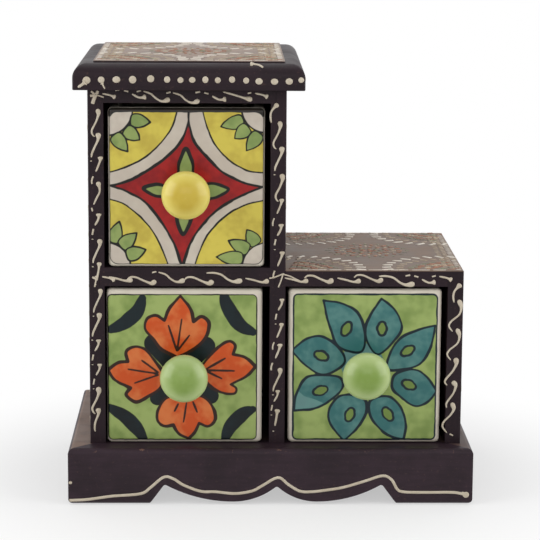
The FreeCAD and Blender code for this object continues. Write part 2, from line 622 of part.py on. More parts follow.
def make_low_top():
    """Top board of the low bay: tongued into the divider, lapped over the right side and the back panel."""
    body = new_body("low_top_board", ("Layout.side_bay_left - Sizes.housing_depth + Sizes.fit_clearance",
                                      "Layout.case_front", "Layout.lower_bay_top"))
    inside = "Sizes.housing_depth + Sizes.side_bay_width - 2 * Sizes.fit_clearance"
    shoulder = "Sizes.housing_depth - Sizes.fit_clearance"
    outside = f"{shoulder} + Sizes.side_bay_width + Sizes.side_thickness"
    section = new_sketch(body, "section", "XZ_Plane")
    draw_path(section, [
        ("0", "0"),
        (inside, "0"),
        (inside, "Layout.half_lap"),
        (outside, "Layout.half_lap"),
        (outside, "Sizes.low_top_thickness"),
        (shoulder, "Sizes.low_top_thickness"),
        (shoulder, "Layout.tongue_thickness"),
        ("0", "Layout.tongue_thickness"),
    ])
    pad(body, "board", section, "Sizes.case_depth", "+Y")
    lap = new_sketch(body, "back_lap", "YZ_Plane")
    draw_rectangle(lap, "Layout.bay_depth", "0", "Sizes.case_depth", "Layout.half_lap")
    pocket(body, "back_lap", lap, "+X")
    end = value(outside)
    level = value("Sizes.low_top_thickness")
    fillet(body, "arrises", "Sizes.case_arris_radius",
           lambda box: (near(box.ZMin, level) and (runs_along(box, "X") or near(box.XMin, end)))
           or (runs_along(box, "Z") and near(box.XMin, end)))


def make_back_panels():
    start = "Layout.tower_bay_left - Sizes.back_rebate_width + Sizes.fit_clearance"
    margins = "2 * Sizes.back_rebate_width - 2 * Sizes.fit_clearance"
    depth = "Layout.case_front + Layout.bay_depth"
    lower = new_body("lower_back_panel", (start, depth, "Sizes.plinth_height"))
    board(lower, f"Layout.low_side_left - Layout.tower_bay_left + {margins}", "Sizes.back_thickness",
          "Layout.panel_split - Sizes.fit_clearance")
    upper = new_body("tower_back_panel", (start, depth, "Sizes.plinth_height + Layout.panel_split"
                                                        " + Sizes.fit_clearance"))
    board(upper, f"Sizes.tower_bay_width + {margins}", "Sizes.back_thickness",
          "Layout.tower_height - Layout.panel_split - Sizes.fit_clearance")

    left = "Sizes.side_thickness - Sizes.back_rebate_width / 2"
    middle = "Layout.divider_left - Layout.case_left + Sizes.side_thickness / 2"
    tower_right = "Layout.divider_left - Layout.case_left + Sizes.back_rebate_width / 2"
    right = "Layout.low_side_left - Layout.case_left + Sizes.back_rebate_width / 2"
    lower_pins = [pin for across in (left, middle, right) for pin in spots_at(across, LOWER_PIN_HEIGHTS)]
    tower_pins = [pin for across in (left, tower_right) for pin in spots_at(across, TOWER_PIN_HEIGHTS)]
    shift = "Sizes.side_thickness - Sizes.back_rebate_width + Sizes.fit_clearance"
    rise = "Layout.panel_split + Sizes.fit_clearance"
    pin_holes(lower, [(f"{across} - ({shift})", height) for across, height in lower_pins])
    pin_holes(upper, [(f"{across} - ({shift})", f"{height} - ({rise})") for across, height in tower_pins])
    pin_group("lower_back_pins", lower_pins)
    pin_group("tower_back_pins", tower_pins)


# Cap

def make_cap():
    """Moulded board with a round-over and a raised field, screwed on through the board under it."""
    body = new_body("cap_board", ("Layout.case_left - Sizes.cap_overhang_left",
                                  "Layout.case_front - Sizes.cap_overhang_front", "Layout.cap_seat"))
    board(body, "Layout.cap_width", "Layout.cap_depth", "Layout.cap_base_height")
    fillet(body, "corners", "Sizes.cap_corner_radius", lambda box: runs_along(box, "Z"))
    base_top = value("Layout.cap_base_height")
    fillet(body, "round_over", "Sizes.cap_round_radius", lambda box: near(box.ZMin, base_top))
    field = new_sketch(body, "field", "XY_Plane", "Layout.cap_base_height")
    draw_rectangle(field, "Sizes.field_inset", "Sizes.field_inset",
                   "Layout.cap_width - Sizes.field_inset", "Layout.cap_depth - Sizes.field_inset")
    pad(body, "field", field, "Sizes.field_rise", "+Z")
    field_top = value("Layout.cap_base_height + Sizes.field_rise")
    fillet(body, "field_arrises", "Sizes.field_arris_radius", lambda box: near(box.ZMin, field_top))
    bay = "Sizes.cap_overhang_left + Sizes.side_thickness"
    left = f"{bay} + Sizes.cap_screw_inset"
    right = f"{bay} + Sizes.tower_bay_width - Sizes.cap_screw_inset"
    pilot_holes(body, "screw", [(column, f"Sizes.cap_overhang_front + {row}")
                                for column in (left, right) for row in CAP_SCREW_ROWS],
                "Sizes.cap_screw_grip")


def make_screws():
    half = "Sizes.side_thickness / 2"
    uprights = [half, f"Layout.divider_left - Layout.case_left + {half}",
                f"Layout.low_side_left - Layout.case_left + {half}"]
    screw_group("plinth_screws", ("Layout.case_left", "Layout.case_front", "Layout.screw_seat"),
                [(across, row) for across in uprights for row in SCREW_ROWS],
                "Sizes.floor_thickness + Sizes.screw_grip")
    columns = ["Sizes.cap_screw_inset", "Sizes.tower_bay_width - Sizes.cap_screw_inset"]
    screw_group("cap_screws", ("Layout.tower_bay_left", "Layout.case_front", "Layout.upper_bay_top"),
                [(across, row) for across in columns for row in CAP_SCREW_ROWS],
                "Sizes.tower_top_thickness + Sizes.cap_screw_grip")


# Drawers

# Each drawer's bay: its left side, its width, its floor and its height
BAYS = {
    "upper": ("Layout.tower_bay_left", "Sizes.tower_bay_width",
              "Layout.shelf_top", "Sizes.upper_bay_height"),
    "lower": ("Layout.tower_bay_left", "Sizes.tower_bay_width",
              "Sizes.plinth_height", "Sizes.lower_bay_height"),
    "side": ("Layout.side_bay_left", "Sizes.side_bay_width",
             "Sizes.plinth_height", "Sizes.lower_bay_height"),
}


def make_tub(name, place, width, height, knob_centre):
    """One-piece cast drawer: a deep tub whose front wall is its painted face."""
    body = new_body(f"{name}_drawer_tub", place)
    depth = "Layout.tub_depth"
    board(body, width, depth, height)
    top = value(height)
    fillet(body, "corners", "Sizes.tub_corner_radius", lambda box: runs_along(box, "Z"))
    fillet(body, "foot", "Sizes.tub_foot_radius", lambda box: near(box.ZMax, 0))
    hollow = new_sketch(body, "hollow", "XY_Plane", height)
    draw_rectangle(hollow, "Sizes.tub_wall", "Sizes.tub_front_wall",
                   f"{width} - Sizes.tub_wall", f"{depth} - Sizes.tub_wall")
    pocket(body, "hollow", hollow, "-Z", f"{height} - Sizes.tub_floor")
    floor = value("Sizes.tub_floor")
    fillet(body, "hollow_corners", "Sizes.hollow_corner_radius",
           lambda box: runs_along(box, "Z") and near(box.ZMin, floor))
    fillet(body, "hollow_floor", "Sizes.hollow_floor_radius",
           lambda box: near(box.ZMin, floor) and near(box.ZMax, floor))
    wall, front_wall = value("Sizes.tub_wall"), value("Sizes.tub_front_wall")
    right, back = value(f"{width} - Sizes.tub_wall"), value(f"{depth} - Sizes.tub_wall")

    def round_hollow(box):
        """True for the edges that go round the mouth of the hollow."""
        across = box.XMin > wall - TOUCH and box.XMax < right + TOUCH
        return across and box.YMin > front_wall - TOUCH and box.YMax < back + TOUCH

    fillet(body, "rim", "Sizes.tub_rim_radius",
           lambda box: near(box.ZMin, top) and not round_hollow(box))
    fillet(body, "lip", "Sizes.tub_lip_radius",
           lambda box: near(box.ZMin, top) and round_hollow(box))
    hole = new_sketch(body, "knob_hole", "XZ_Plane")
    draw_circles(hole, [knob_centre], "Sizes.stud_radius + Sizes.stud_hole_clearance")
    pocket(body, "knob_hole", hole, "+Y", "Sizes.tub_front_wall + Sizes.washer_thickness")


def make_knob(name, place):
    """Turned profile: foot, neck and head, with a blind bore for the stud."""
    body = new_body(f"{name}_knob", place)
    profile = new_sketch(body, "profile", "XY_Plane")
    draw_path(profile, [
        ("Layout.stud_bore_radius", "0"),
        ("Sizes.knob_foot_radius", "0", "Layout.flare_radius", "left"),
        ("Sizes.knob_neck_radius", "-Sizes.knob_neck_reach", "Layout.neck_curve_radius", "left"),
        ("Layout.turn_radius", "-Layout.turn_reach", "Sizes.knob_under_radius", "right"),
        ("Sizes.knob_radius", "-Sizes.knob_widest_reach", "Sizes.knob_edge_radius", "right"),
        ("Layout.brow_radius", "-Layout.brow_reach", "Layout.dome_radius", "right"),
        ("0", "-Sizes.knob_reach"),
        ("0", "-Sizes.knob_bore_depth"),
        ("Layout.stud_bore_radius", "-Sizes.knob_bore_depth"),
    ])
    feature = add_feature(body, "Revolution", "turning", profile)
    feature.ReferenceAxis = (profile, ["V_Axis"])
    feature.Angle = 360


def make_fittings(name, place):
    """Stud through the front wall, with a washer and a nut inside the drawer."""
    centre = [("0", "0")]
    behind_wall = "Sizes.tub_front_wall"
    behind_washer = "Sizes.tub_front_wall + Sizes.washer_thickness"
    stud = new_body(f"{name}_knob_stud", place)
    rod = new_sketch(stud, "rod", "XZ_Plane", "-Sizes.knob_bore_depth")
    draw_circles(rod, centre, "Sizes.stud_radius")
    beyond_face = f"{behind_washer} + Sizes.nut_thickness + Sizes.stud_end"
    pad(stud, "rod", rod, f"Sizes.knob_bore_depth + {beyond_face}", "+Y")

    washer = new_body(f"{name}_knob_washer", place)
    ring = new_sketch(washer, "ring", "XZ_Plane", behind_wall)
    draw_circles(ring, centre, "Sizes.washer_radius")
    draw_circles(ring, centre, "Layout.nut_bore_radius")
    pad(washer, "ring", ring, "Sizes.washer_thickness", "+Y")

    nut = new_body(f"{name}_knob_nut", place)
    flats = new_sketch(nut, "flats", "XZ_Plane", behind_washer)
    half = "Sizes.nut_flats / 2"
    rise = "Sizes.nut_flats / sqrt(12)"
    point = "Sizes.nut_flats / sqrt(3)"
    draw_path(flats, [
        (half, f"-{rise}"),
        (half, rise),
        ("0", point),
        (f"-{half}", rise),
        (f"-{half}", f"-{rise}"),
        ("0", f"-{point}"),
    ])
    draw_circles(flats, centre, "Layout.nut_bore_radius")
    pad(nut, "hexagon", flats, "Sizes.nut_thickness", "+Y")


def make_drawer(name):
    bay_left, bay_width, bay_floor, bay_height = BAYS[name]
    width = f"({bay_width} - Sizes.play_left_{name} - Sizes.play_right_{name})"
    height = f"({bay_height} - Sizes.glide_clearance - Sizes.headroom_{name})"
    left = f"{bay_left} + Sizes.play_left_{name}"
    bottom = f"{bay_floor} + Sizes.glide_clearance"
    knob_across = f"{width} / 2"
    knob_up = f"{height} / 2 - Sizes.knob_drop_{name}"
    make_tub(name, (left, "Layout.tub_front", bottom), width, height, (knob_across, knob_up))
    knob_place = (f"{left} + {knob_across}", "Layout.tub_front", f"{bottom} + {knob_up}")
    make_knob(name, knob_place)
    make_fittings(name, knob_place)


# Build, check and write

def check_model():
    """Stop where an object failed, a pocket cut nothing or a shape isn't sound."""
    doc.recompute()
    for item in doc.Objects:
        if "Invalid" in item.State or "Error" in item.State:
            raise RuntimeError(f"{item.Name} failed: {item.State}")
    for item in doc.Objects:
        if item.TypeId == "PartDesign::Pocket" and item.Shape.Volume > item.BaseFeature.Shape.Volume - 1e-6:
            raise RuntimeError(f"{item.Name} cuts nothing")
    for body in parts:
        if body.Shape.isNull() or not body.Shape.isValid() or not body.Shape.Solids:
            raise RuntimeError(f"{body.Label} has no sound shape")


make_plinth()
make_floor_board()
make_tower_left_side()
make_centre_divider()
make_low_right_side()
make_cross_boards()
make_low_top()
make_back_panels()
make_cap()
make_screws()
for drawer_name in BAYS:
    make_drawer(drawer_name)
check_model()

os.makedirs("parts", exist_ok=True)
for body in parts:
    body.Shape.exportStep(f"parts/{body.Label}.step")
    print(f"{body.Label}: {len(body.Shape.Solids)} solid(s), {body.Shape.Volume:.0f} mm3")
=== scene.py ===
import json
import math

import bmesh
import bpy
import numpy as np
from mathutils import Matrix, Vector


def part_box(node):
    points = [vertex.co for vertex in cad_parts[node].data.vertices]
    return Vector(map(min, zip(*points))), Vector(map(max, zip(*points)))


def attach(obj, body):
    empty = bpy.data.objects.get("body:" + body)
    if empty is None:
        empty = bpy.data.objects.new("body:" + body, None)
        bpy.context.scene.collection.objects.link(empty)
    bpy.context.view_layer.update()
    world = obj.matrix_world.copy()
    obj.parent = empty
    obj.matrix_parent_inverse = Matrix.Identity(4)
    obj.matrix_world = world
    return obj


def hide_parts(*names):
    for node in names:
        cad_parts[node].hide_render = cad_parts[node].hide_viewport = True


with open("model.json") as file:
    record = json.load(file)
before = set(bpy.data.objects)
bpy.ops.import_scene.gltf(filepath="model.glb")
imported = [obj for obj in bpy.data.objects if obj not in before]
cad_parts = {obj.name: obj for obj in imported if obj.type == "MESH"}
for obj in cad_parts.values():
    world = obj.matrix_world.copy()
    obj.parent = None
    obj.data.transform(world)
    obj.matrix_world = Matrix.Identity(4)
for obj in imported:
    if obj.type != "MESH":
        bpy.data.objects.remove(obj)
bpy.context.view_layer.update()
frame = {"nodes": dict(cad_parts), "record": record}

MM = 0.001


def box_of(node):
    """A node's lowest and highest corners in mm."""
    return [[c / MM for c in corner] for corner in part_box(node)]


def add_object(name, data):
    """A new object in the scene, from a mesh, a curve, a lamp or a camera."""
    made = bpy.data.objects.new(name, data)
    bpy.context.scene.collection.objects.link(made)
    return made


# Colours, as red, green and blue on a screen's scale of 0 to 255


def paint(red, green, blue):
    """A screen colour as the shader's own linear colour."""
    shares = [c / 255 for c in (red, green, blue)]
    return [c / 12.92 if c <= 0.04045 else ((c + 0.055) / 1.055) ** 2.4 for c in shares] + [1.0]


AUBERGINE = paint(31, 19, 25)
PLINTH_AUBERGINE = paint(43, 31, 38)
# The low top's face and the cap's field: lighter browns, partly dust and partly a painted sheen
TOP_BROWN_DUST_AND_SHEEN = paint(118, 98, 84)
FIELD_BROWN_DUST_AND_SHEEN = paint(142, 125, 114)
BACK_BROWN = paint(52, 38, 34)
# The ledges' tops: a worn brown together with a painted glare
LEDGE_WEAR_AND_GLARE_BROWN = paint(122, 100, 88)
AUBERGINE_WORN = paint(104, 78, 68)
TRIM_WHITE = paint(191, 180, 161)
TRIM_SHADE = paint(172, 158, 136)
DAB_WHITE = paint(226, 218, 206)
DAB_BONE = paint(196, 186, 170)
DAB_ORANGE = paint(158, 104, 72)
DAB_BROWN = paint(130, 92, 72)
DAB_CREAM = paint(188, 172, 146)
DAB_TAN = paint(150, 130, 106)
DAB_GREEN = paint(126, 128, 98)
DAB_GREY = paint(108, 100, 90)
CHINA_CREAM = paint(204, 196, 181)
BAND_CREAM = paint(186, 175, 162)
OUTLINE_DARK = paint(22, 22, 20)
OUTLINE_BROWN = paint(44, 24, 16)
OUTLINE_NAVY = paint(14, 30, 38)
RIM_SHADE = paint(40, 33, 27)
STAR_RED = paint(156, 30, 28)
STAR_CRIMSON = paint(104, 12, 22)
QUARTER_YELLOW = paint(203, 187, 80)
QUARTER_OCHRE = paint(156, 130, 50)
LEAF_GREEN = paint(140, 156, 92)
LEAF_SHADE = paint(100, 124, 68)
FIELD_GREEN = paint(150, 167, 98)
FIELD_SHADE = paint(110, 132, 66)
FLOWER_ORANGE = paint(193, 76, 24)
FLOWER_PALE = paint(210, 124, 68)
CRESCENT_NAVY = paint(13, 27, 31)
CRESCENT_BLACK = paint(8, 13, 14)
PETAL_TEAL = paint(50, 102, 102)
PETAL_PALE = paint(96, 140, 134)
GAP_TEAL = paint(96, 132, 130)
SEED_GREEN = paint(106, 128, 62)
# A knob's paler rim colour: partly thinner glaze, partly a painted highlight
KNOB_YELLOW = paint(187, 161, 50)
KNOB_STRAW_AND_HIGHLIGHT = paint(222, 207, 108)
KNOB_GREEN = paint(120, 146, 66)
KNOB_PALE_AND_HIGHLIGHT = paint(177, 195, 134)
STEEL = paint(186, 184, 178)
STEEL_DARK = paint(150, 148, 142)

# Shader helpers


def new_group(name, inputs, outputs):
    """An empty shader group. Each socket is (name, kind, default)."""
    group = bpy.data.node_groups.new(name, "ShaderNodeTree")
    for side, sockets in (("INPUT", inputs), ("OUTPUT", outputs)):
        for label, kind, *default in sockets:
            socket = group.interface.new_socket(label, in_out=side, socket_type="NodeSocket" + kind)
            if default:
                socket.default_value = default[0]
    return group, group.nodes.new("NodeGroupInput"), group.nodes.new("NodeGroupOutput")


# The sockets of a Mix node that mixes colours
MIX_SHARE, MIX_UNDER, MIX_OVER, MIX_RESULT = 0, 6, 7, 2


class Wiring:
    """Short ways to add and join the nodes of one tree."""

    def __init__(self, tree):
        self.tree = tree

    def join(self, source, socket):
        if isinstance(source, bpy.types.NodeSocket):
            self.tree.links.new(source, socket)
        else:
            socket.default_value = source

    def node(self, kind, settings=None, **inputs):
        made = self.tree.nodes.new(kind)
        for key, setting in (settings or {}).items():
            setattr(made, key, setting)
        for key, source in inputs.items():
            self.join(source, made.inputs[key.replace("_", " ")])
        return made

    def maths(self, operation, *sources):
        made = self.node("ShaderNodeMath", {"operation": operation})
        for index, source in enumerate(sources):
            self.join(source, made.inputs[index])
        return made.outputs[0]

    def blend(self, share, under, over):
        made = self.node("ShaderNodeMix", {"data_type": "RGBA"})
        self.join(share, made.inputs[MIX_SHARE])
        self.join(under, made.inputs[MIX_UNDER])
        self.join(over, made.inputs[MIX_OVER])
        return made.outputs[MIX_RESULT]

    def ramp(self, source, low, high, to_low=0.0, to_high=1.0):
        made = self.node("ShaderNodeMapRange", {"interpolation_type": "SMOOTHSTEP"})
        for index, item in enumerate((source, low, high, to_low, to_high)):
            self.join(item, made.inputs[index])
        return made.outputs[0]

    def float_curve(self, source, places):
        """A smooth curve through some places, the first and the last at its ends."""
        made = self.node("ShaderNodeFloatCurve", Value=source)
        points = made.mapping.curves[0].points
        points[0].location, points[1].location = places[0], places[-1]
        for place in places[1:-1]:
            points.new(*place)
        made.mapping.update()
        return made.outputs[0]

    def noise(self, place, scale, detail=2.0, roughness=0.5):
        made = self.node("ShaderNodeTexNoise", Vector=place, Scale=scale, Detail=detail, Roughness=roughness)
        return made.outputs["Fac"]

    def scaled(self, place, scale):
        return self.node("ShaderNodeMapping", Vector=place, Scale=scale).outputs[0]

    def apart(self, place):
        """The x, y and z of a place."""
        return self.node("ShaderNodeSeparateXYZ", Vector=place).outputs

    def group(self, group, **inputs):
        return self.node("ShaderNodeGroup", {"node_tree": group}, **inputs)


def opened(material):
    """A material's wiring, its Principled BSDF and its object coordinates."""
    wiring = Wiring(material.node_tree)
    place = wiring.node("ShaderNodeTexCoord").outputs["Object"]
    return wiring, material.node_tree.nodes["Principled BSDF"], place


def new_material(name):
    """A new material, with its wiring, its Principled BSDF and its object coordinates."""
    material = bpy.data.materials.new(name)
    material.use_nodes = True
    return (material, *opened(material))


def add_bump(wiring, shader, height, distance, strength):
    bump = wiring.node("ShaderNodeBump", Strength=strength, Distance=distance, Height=height)
    wiring.join(bump.outputs["Normal"], shader.inputs["Normal"])


def make_mottle_group():
    """A colour that pools and thins into a second one, as a glaze or a brushed paint does."""
    group, given, made = new_group(
        "brushed_colour",
        [("Place", "Vector"), ("Colour", "Color"), ("Second Colour", "Color"),
         ("Pool Scale", "Float", 90.0), ("Amount", "Float", 0.5)],
        [("Colour", "Color")])
    w = Wiring(group)
    place, scale = given.outputs["Place"], given.outputs["Pool Scale"]
    pools = w.noise(place, scale)
    fine = w.noise(place, w.maths("MULTIPLY", scale, 4.0))
    cloud = w.maths("ADD", w.maths("MULTIPLY", pools, 0.8), w.maths("MULTIPLY", fine, 0.2))
    share = w.maths("MULTIPLY", w.ramp(cloud, 0.38, 0.66), given.outputs["Amount"])
    w.join(w.blend(share, given.outputs["Colour"], given.outputs["Second Colour"]), made.inputs["Colour"])
    return group


def make_painted_shape_group():
    """One painted shape over what lies under it, from its distance inside the shape's edge in mm."""
    group, given, made = new_group(
        "painted_shape",
        [("Under", "Color"), ("Distance", "Float"), ("Fill", "Color"), ("Line Colour", "Color"),
         ("Line Width", "Float", 0.6), ("Waver", "Float"), ("Softness", "Float", 0.16)],
        [("Colour", "Color")])
    w = Wiring(group)
    soft, line_width = given.outputs["Softness"], given.outputs["Line Width"]
    edge = w.maths("ADD", given.outputs["Distance"], given.outputs["Waver"])
    outside = w.maths("MULTIPLY", soft, -1.0)
    filled = w.blend(w.ramp(edge, outside, soft), given.outputs["Under"], given.outputs["Fill"])
    in_line = w.maths("SUBTRACT", w.maths("MULTIPLY", line_width, 0.5), w.maths("ABSOLUTE", edge))
    line = w.maths("MULTIPLY", w.ramp(in_line, outside, soft), w.maths("GREATER_THAN", line_width, 0.01))
    w.join(w.blend(line, filled, given.outputs["Line Colour"]), made.inputs["Colour"])
    return group


def make_wood_paint_group():
    """Hand-brushed wood paint: its colour, its gloss and its surface."""
    group, given, made = new_group(
        "brushed_wood_paint",
        [("Place", "Vector"), ("Grain Scale", "Vector"), ("Colour", "Color"), ("Worn Colour", "Color"),
         ("Wear", "Float", 0.3)],
        [("Colour", "Color"), ("Roughness", "Float"), ("Height", "Float")])
    w = Wiring(group)
    place = given.outputs["Place"]
    brush = w.noise(w.scaled(place, given.outputs["Grain Scale"]), 1.0, detail=3.0, roughness=0.6)
    cloud = w.noise(place, 60.0, detail=3.0, roughness=0.6)
    specks = w.noise(place, 700.0, roughness=0.6)
    tone = w.maths("ADD", w.ramp(cloud, 0.3, 0.7, to_low=0.8, to_high=1.2),
                   w.ramp(brush, 0.35, 0.65, to_low=-0.09, to_high=0.09))
    colour = w.node("ShaderNodeVectorMath", {"operation": "SCALE"}, Vector=given.outputs["Colour"],
                    Scale=tone)
    dust = w.maths("MULTIPLY", w.ramp(specks, 0.6, 0.72), given.outputs["Wear"])
    w.join(w.blend(dust, colour.outputs[0], given.outputs["Worn Colour"]), made.inputs["Colour"])
    w.join(w.ramp(cloud, 0.3, 0.7, to_low=0.42, to_high=0.55), made.inputs["Roughness"])
    w.join(w.maths("ADD", w.maths("MULTIPLY", brush, 0.7), w.maths("MULTIPLY", specks, 0.3)),
           made.inputs["Height"])
    return group


MOTTLE = make_mottle_group()
PAINTED_SHAPE = make_painted_shape_group()
WOOD_PAINT = make_wood_paint_group()

# Materials

GRAIN_ALONG = {"x": (60.0, 700.0, 700.0), "y": (700.0, 60.0, 700.0), "z": (700.0, 700.0, 60.0)}
# In metres from a rubbed arris: where the wear is full, and where it ends
WORN_CORE, WORN_REACH = 0.0004, 0.0022


def wood_material(name, along, colour=AUBERGINE, dust=0.14, roughness_shift=0.0, worn_line=None):
    """Painted wood. The worn line is the place, in metres on two axes, of an arris that hands have rubbed."""
    material, w, shader, place = new_material(name)
    wear = dust
    if worn_line:
        coordinates = w.apart(place)
        near = 1.0
        for axis, level in worn_line.items():
            off = w.maths("ABSOLUTE", w.maths("SUBTRACT", coordinates[axis], level))
            near = w.maths("MULTIPLY", near, w.ramp(off, WORN_CORE, WORN_REACH, to_low=1.0, to_high=0.0))
        rubbed = w.noise(place, 130.0, detail=3.0, roughness=0.6)
        near = w.maths("MULTIPLY", near, w.ramp(rubbed, 0.54, 0.72, to_high=2.0))
        wear = w.maths("ADD", near, wear)
    coat = w.group(WOOD_PAINT, Place=place, Grain_Scale=GRAIN_ALONG[along], Colour=colour,
                   Worn_Colour=AUBERGINE_WORN, Wear=wear)
    w.join(coat.outputs["Colour"], shader.inputs["Base Color"])
    w.join(w.maths("ADD", coat.outputs["Roughness"], roughness_shift), shader.inputs["Roughness"])
    shader.inputs["Specular IOR Level"].default_value = 0.18
    add_bump(w, shader, coat.outputs["Height"], distance=0.0001, strength=0.45)
    return material


def on_top_face(w, up, level, softness):
    """1 on a top face, and 0 from a little below its level. All in metres."""
    return w.ramp(up, level - 0.0001 - softness, level - 0.0001)


def low_top_material():
    """Painted wood whose top face is a lighter brown, partly dust and partly a painted sheen."""
    material = wood_material("low_top_paint", "x")
    w, shader, place = opened(material)
    # The top face's lighter colour: partly dust, partly a painted sheen
    brown = w.group(WOOD_PAINT, Place=place, Grain_Scale=GRAIN_ALONG["x"], Colour=TOP_BROWN_DUST_AND_SHEEN,
                    Worn_Colour=AUBERGINE_WORN, Wear=0.3)
    on_top = on_top_face(w, w.apart(place)[2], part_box("low_top_board")[1].z, softness=0.0005)
    under = shader.inputs["Base Color"].links[0].from_socket
    w.join(w.blend(on_top, under, brown.outputs["Colour"]), shader.inputs["Base Color"])
    return material


def trim_material(name, colour, second, amount=0.5):
    """Thick paint squeezed from a cone: matt, a little uneven."""
    material, w, shader, place = new_material(name)
    tint = w.group(MOTTLE, Place=place, Colour=colour, Second_Colour=second, Pool_Scale=260.0, Amount=amount)
    w.join(tint.outputs[0], shader.inputs["Base Color"])
    shader.inputs["Roughness"].default_value = 0.5
    add_bump(w, shader, w.noise(place, 1200.0), distance=0.00008, strength=0.4)
    return material


def finish_glaze(w, shader, place, coat=0.1):
    """A softly shining glaze over a slightly wavy body."""
    for name, value in (("Roughness", 0.3), ("Specular IOR Level", 0.2), ("Coat Weight", coat),
                        ("Coat Roughness", 0.1)):
        shader.inputs[name].default_value = value
    add_bump(w, shader, w.noise(place, 150.0, roughness=0.45), distance=0.0004, strength=0.2)


# Shares of a knob's radius: where its glaze starts to thin and its painted highlight to rise, and where both
# are strongest
KNOB_CROWN, KNOB_RIM = 0.35, 1.05


def knob_material(drawer, colour, pale):
    """A knob's glaze: full at its crown, paler towards its widest part, partly as thinner glaze and partly as
    a painted highlight.
    """
    material, w, shader, place = new_material(f"{drawer}_knob_glaze")
    low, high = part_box(f"{drawer}_knob")
    x, _, z = w.apart(place)
    across = w.maths("SUBTRACT", x, (low.x + high.x) / 2)
    up = w.maths("SUBTRACT", z, (low.z + high.z) / 2)
    away = w.maths("SQRT", w.maths("ADD", w.maths("POWER", across, 2.0), w.maths("POWER", up, 2.0)))
    radius = (high.x - low.x) / 2
    patchy = w.ramp(w.noise(place, 75.0), 0.3, 0.6, to_low=0.75)
    # The pale rim: partly thinner glaze, partly a painted highlight
    rim = w.maths("MULTIPLY", w.ramp(away, radius * KNOB_CROWN, radius * KNOB_RIM), patchy)
    crown = w.group(MOTTLE, Place=place, Colour=colour, Second_Colour=pale, Pool_Scale=110.0, Amount=0.12)
    w.join(w.blend(rim, crown.outputs[0], pale), shader.inputs["Base Color"])
    finish_glaze(w, shader, place, coat=0.3)
    return material


def steel_material():
    """Bright steel with fine scratches across it."""
    material, w, shader, place = new_material("bright_steel")
    scratches = w.noise(w.scaled(place, (400.0, 4000.0, 400.0)), 1.0)
    w.join(w.blend(w.ramp(scratches, 0.3, 0.7), STEEL, STEEL_DARK), shader.inputs["Base Color"])
    w.join(w.ramp(scratches, 0.2, 0.8, to_low=0.25, to_high=0.45), shader.inputs["Roughness"])
    shader.inputs["Metallic"].default_value = 1.0
    return material


# How widely in mm the brush wavers, and the share by which its pressure widens and thins its line
WAVER, PRESSURE = 0.5, 0.25


def painted_china(name, ground, layers):
    """Glazed china whose painting is a pile of layers, each read from an attribute of the mesh.

    A layer is (attribute, fill, second colour, its amount, line colour, line width in mm)."""
    material, w, shader, place = new_material(name)
    colour, second, amount = ground
    picture = w.group(MOTTLE, Place=place, Colour=colour, Second_Colour=second, Pool_Scale=70.0,
                      Amount=amount).outputs[0]
    waver = w.maths("MULTIPLY", w.maths("SUBTRACT", w.noise(place, 220.0), 0.5), WAVER)
    pressed = w.noise(place, 110.0)
    for attribute, fill, second, amount, line_colour, line_width in layers:
        distance = w.node("ShaderNodeAttribute", {"attribute_name": attribute}).outputs["Fac"]
        tint = w.group(MOTTLE, Place=place, Colour=fill, Second_Colour=second, Pool_Scale=100.0,
                       Amount=amount).outputs[0]
        width = w.ramp(pressed, 0.3, 0.7, to_low=line_width * (1 - PRESSURE),
                       to_high=line_width * (1 + PRESSURE))
        picture = w.group(PAINTED_SHAPE, Under=picture, Distance=distance, Fill=tint,
                          Line_Colour=line_colour, Line_Width=width, Waver=waver).outputs[0]
    w.join(picture, shader.inputs["Base Color"])
    finish_glaze(w, shader, place)
    return material


# Painted shapes: outlines in mm from the middle of a drawer's face, x to the right and z up

CURVE_STEPS = 8
# A leaf's outline from its tip: shares of its length from its base, and of half its width
LEAF_OUTLINE = ((0.74, 0.62), (0.42, 1.0), (0.10, 0.72))


def curve_between(points, closed, sharp=()):
    """A smooth line through some points, with corners at the sharp ones."""
    count = len(points)
    spots = [np.array(point, float) for point in points]
    line = []
    for index in range(count if closed else count - 1):
        here, there = spots[index], spots[(index + 1) % count]
        before = spots[index - 1] if closed or index else here
        after = spots[(index + 2) % count] if closed or index + 2 < count else there
        leaving = (there - here) if index in sharp else (there - before) / 2
        reaching = (there - here) if (index + 1) % count in sharp else (after - here) / 2
        for share in np.linspace(0, 1, CURVE_STEPS + 1)[:-1]:
            a, b = share ** 2, share ** 3
            line.append((2 * b - 3 * a + 1) * here + (b - 2 * a + share) * leaving
                        + (3 * a - 2 * b) * there + (b - a) * reaching)
    if not closed:
        line.append(spots[-1])
    return np.array(line)


def spans(line, closed):
    """The starts and the ends of a line's straight pieces."""
    following = np.roll(line, -1, axis=0)
    return (line, following) if closed else (line[:-1], following[:-1])


def nearest(places, line, closed):
    """Distance from each place to a line, and how far along the line that is."""
    starts, ends = spans(line, closed)
    best = np.full(len(places), 1e9)
    along = np.zeros(len(places))
    for number, (start, end) in enumerate(zip(starts, ends)):
        run = end - start
        share = np.clip((places - start) @ run / max(run @ run, 1e-9), 0, 1)
        away = np.linalg.norm(places - start - share[:, None] * run, axis=1)
        closer = away < best
        best[closer] = away[closer]
        along[closer] = (number + share[closer]) / len(starts)
    return best, along


def inside_of(places, line):
    """True for the places inside a closed line."""
    odd = np.zeros(len(places), bool)
    starts, ends = spans(line, True)
    for start, end in zip(starts, ends):
        if start[1] == end[1]:
            continue
        crosses = (start[1] > places[:, 1]) != (end[1] > places[:, 1])
        at = start[0] + (places[:, 1] - start[1]) * (end[0] - start[0]) / (end[1] - start[1])
        odd ^= crosses & (places[:, 0] < at)
    return odd


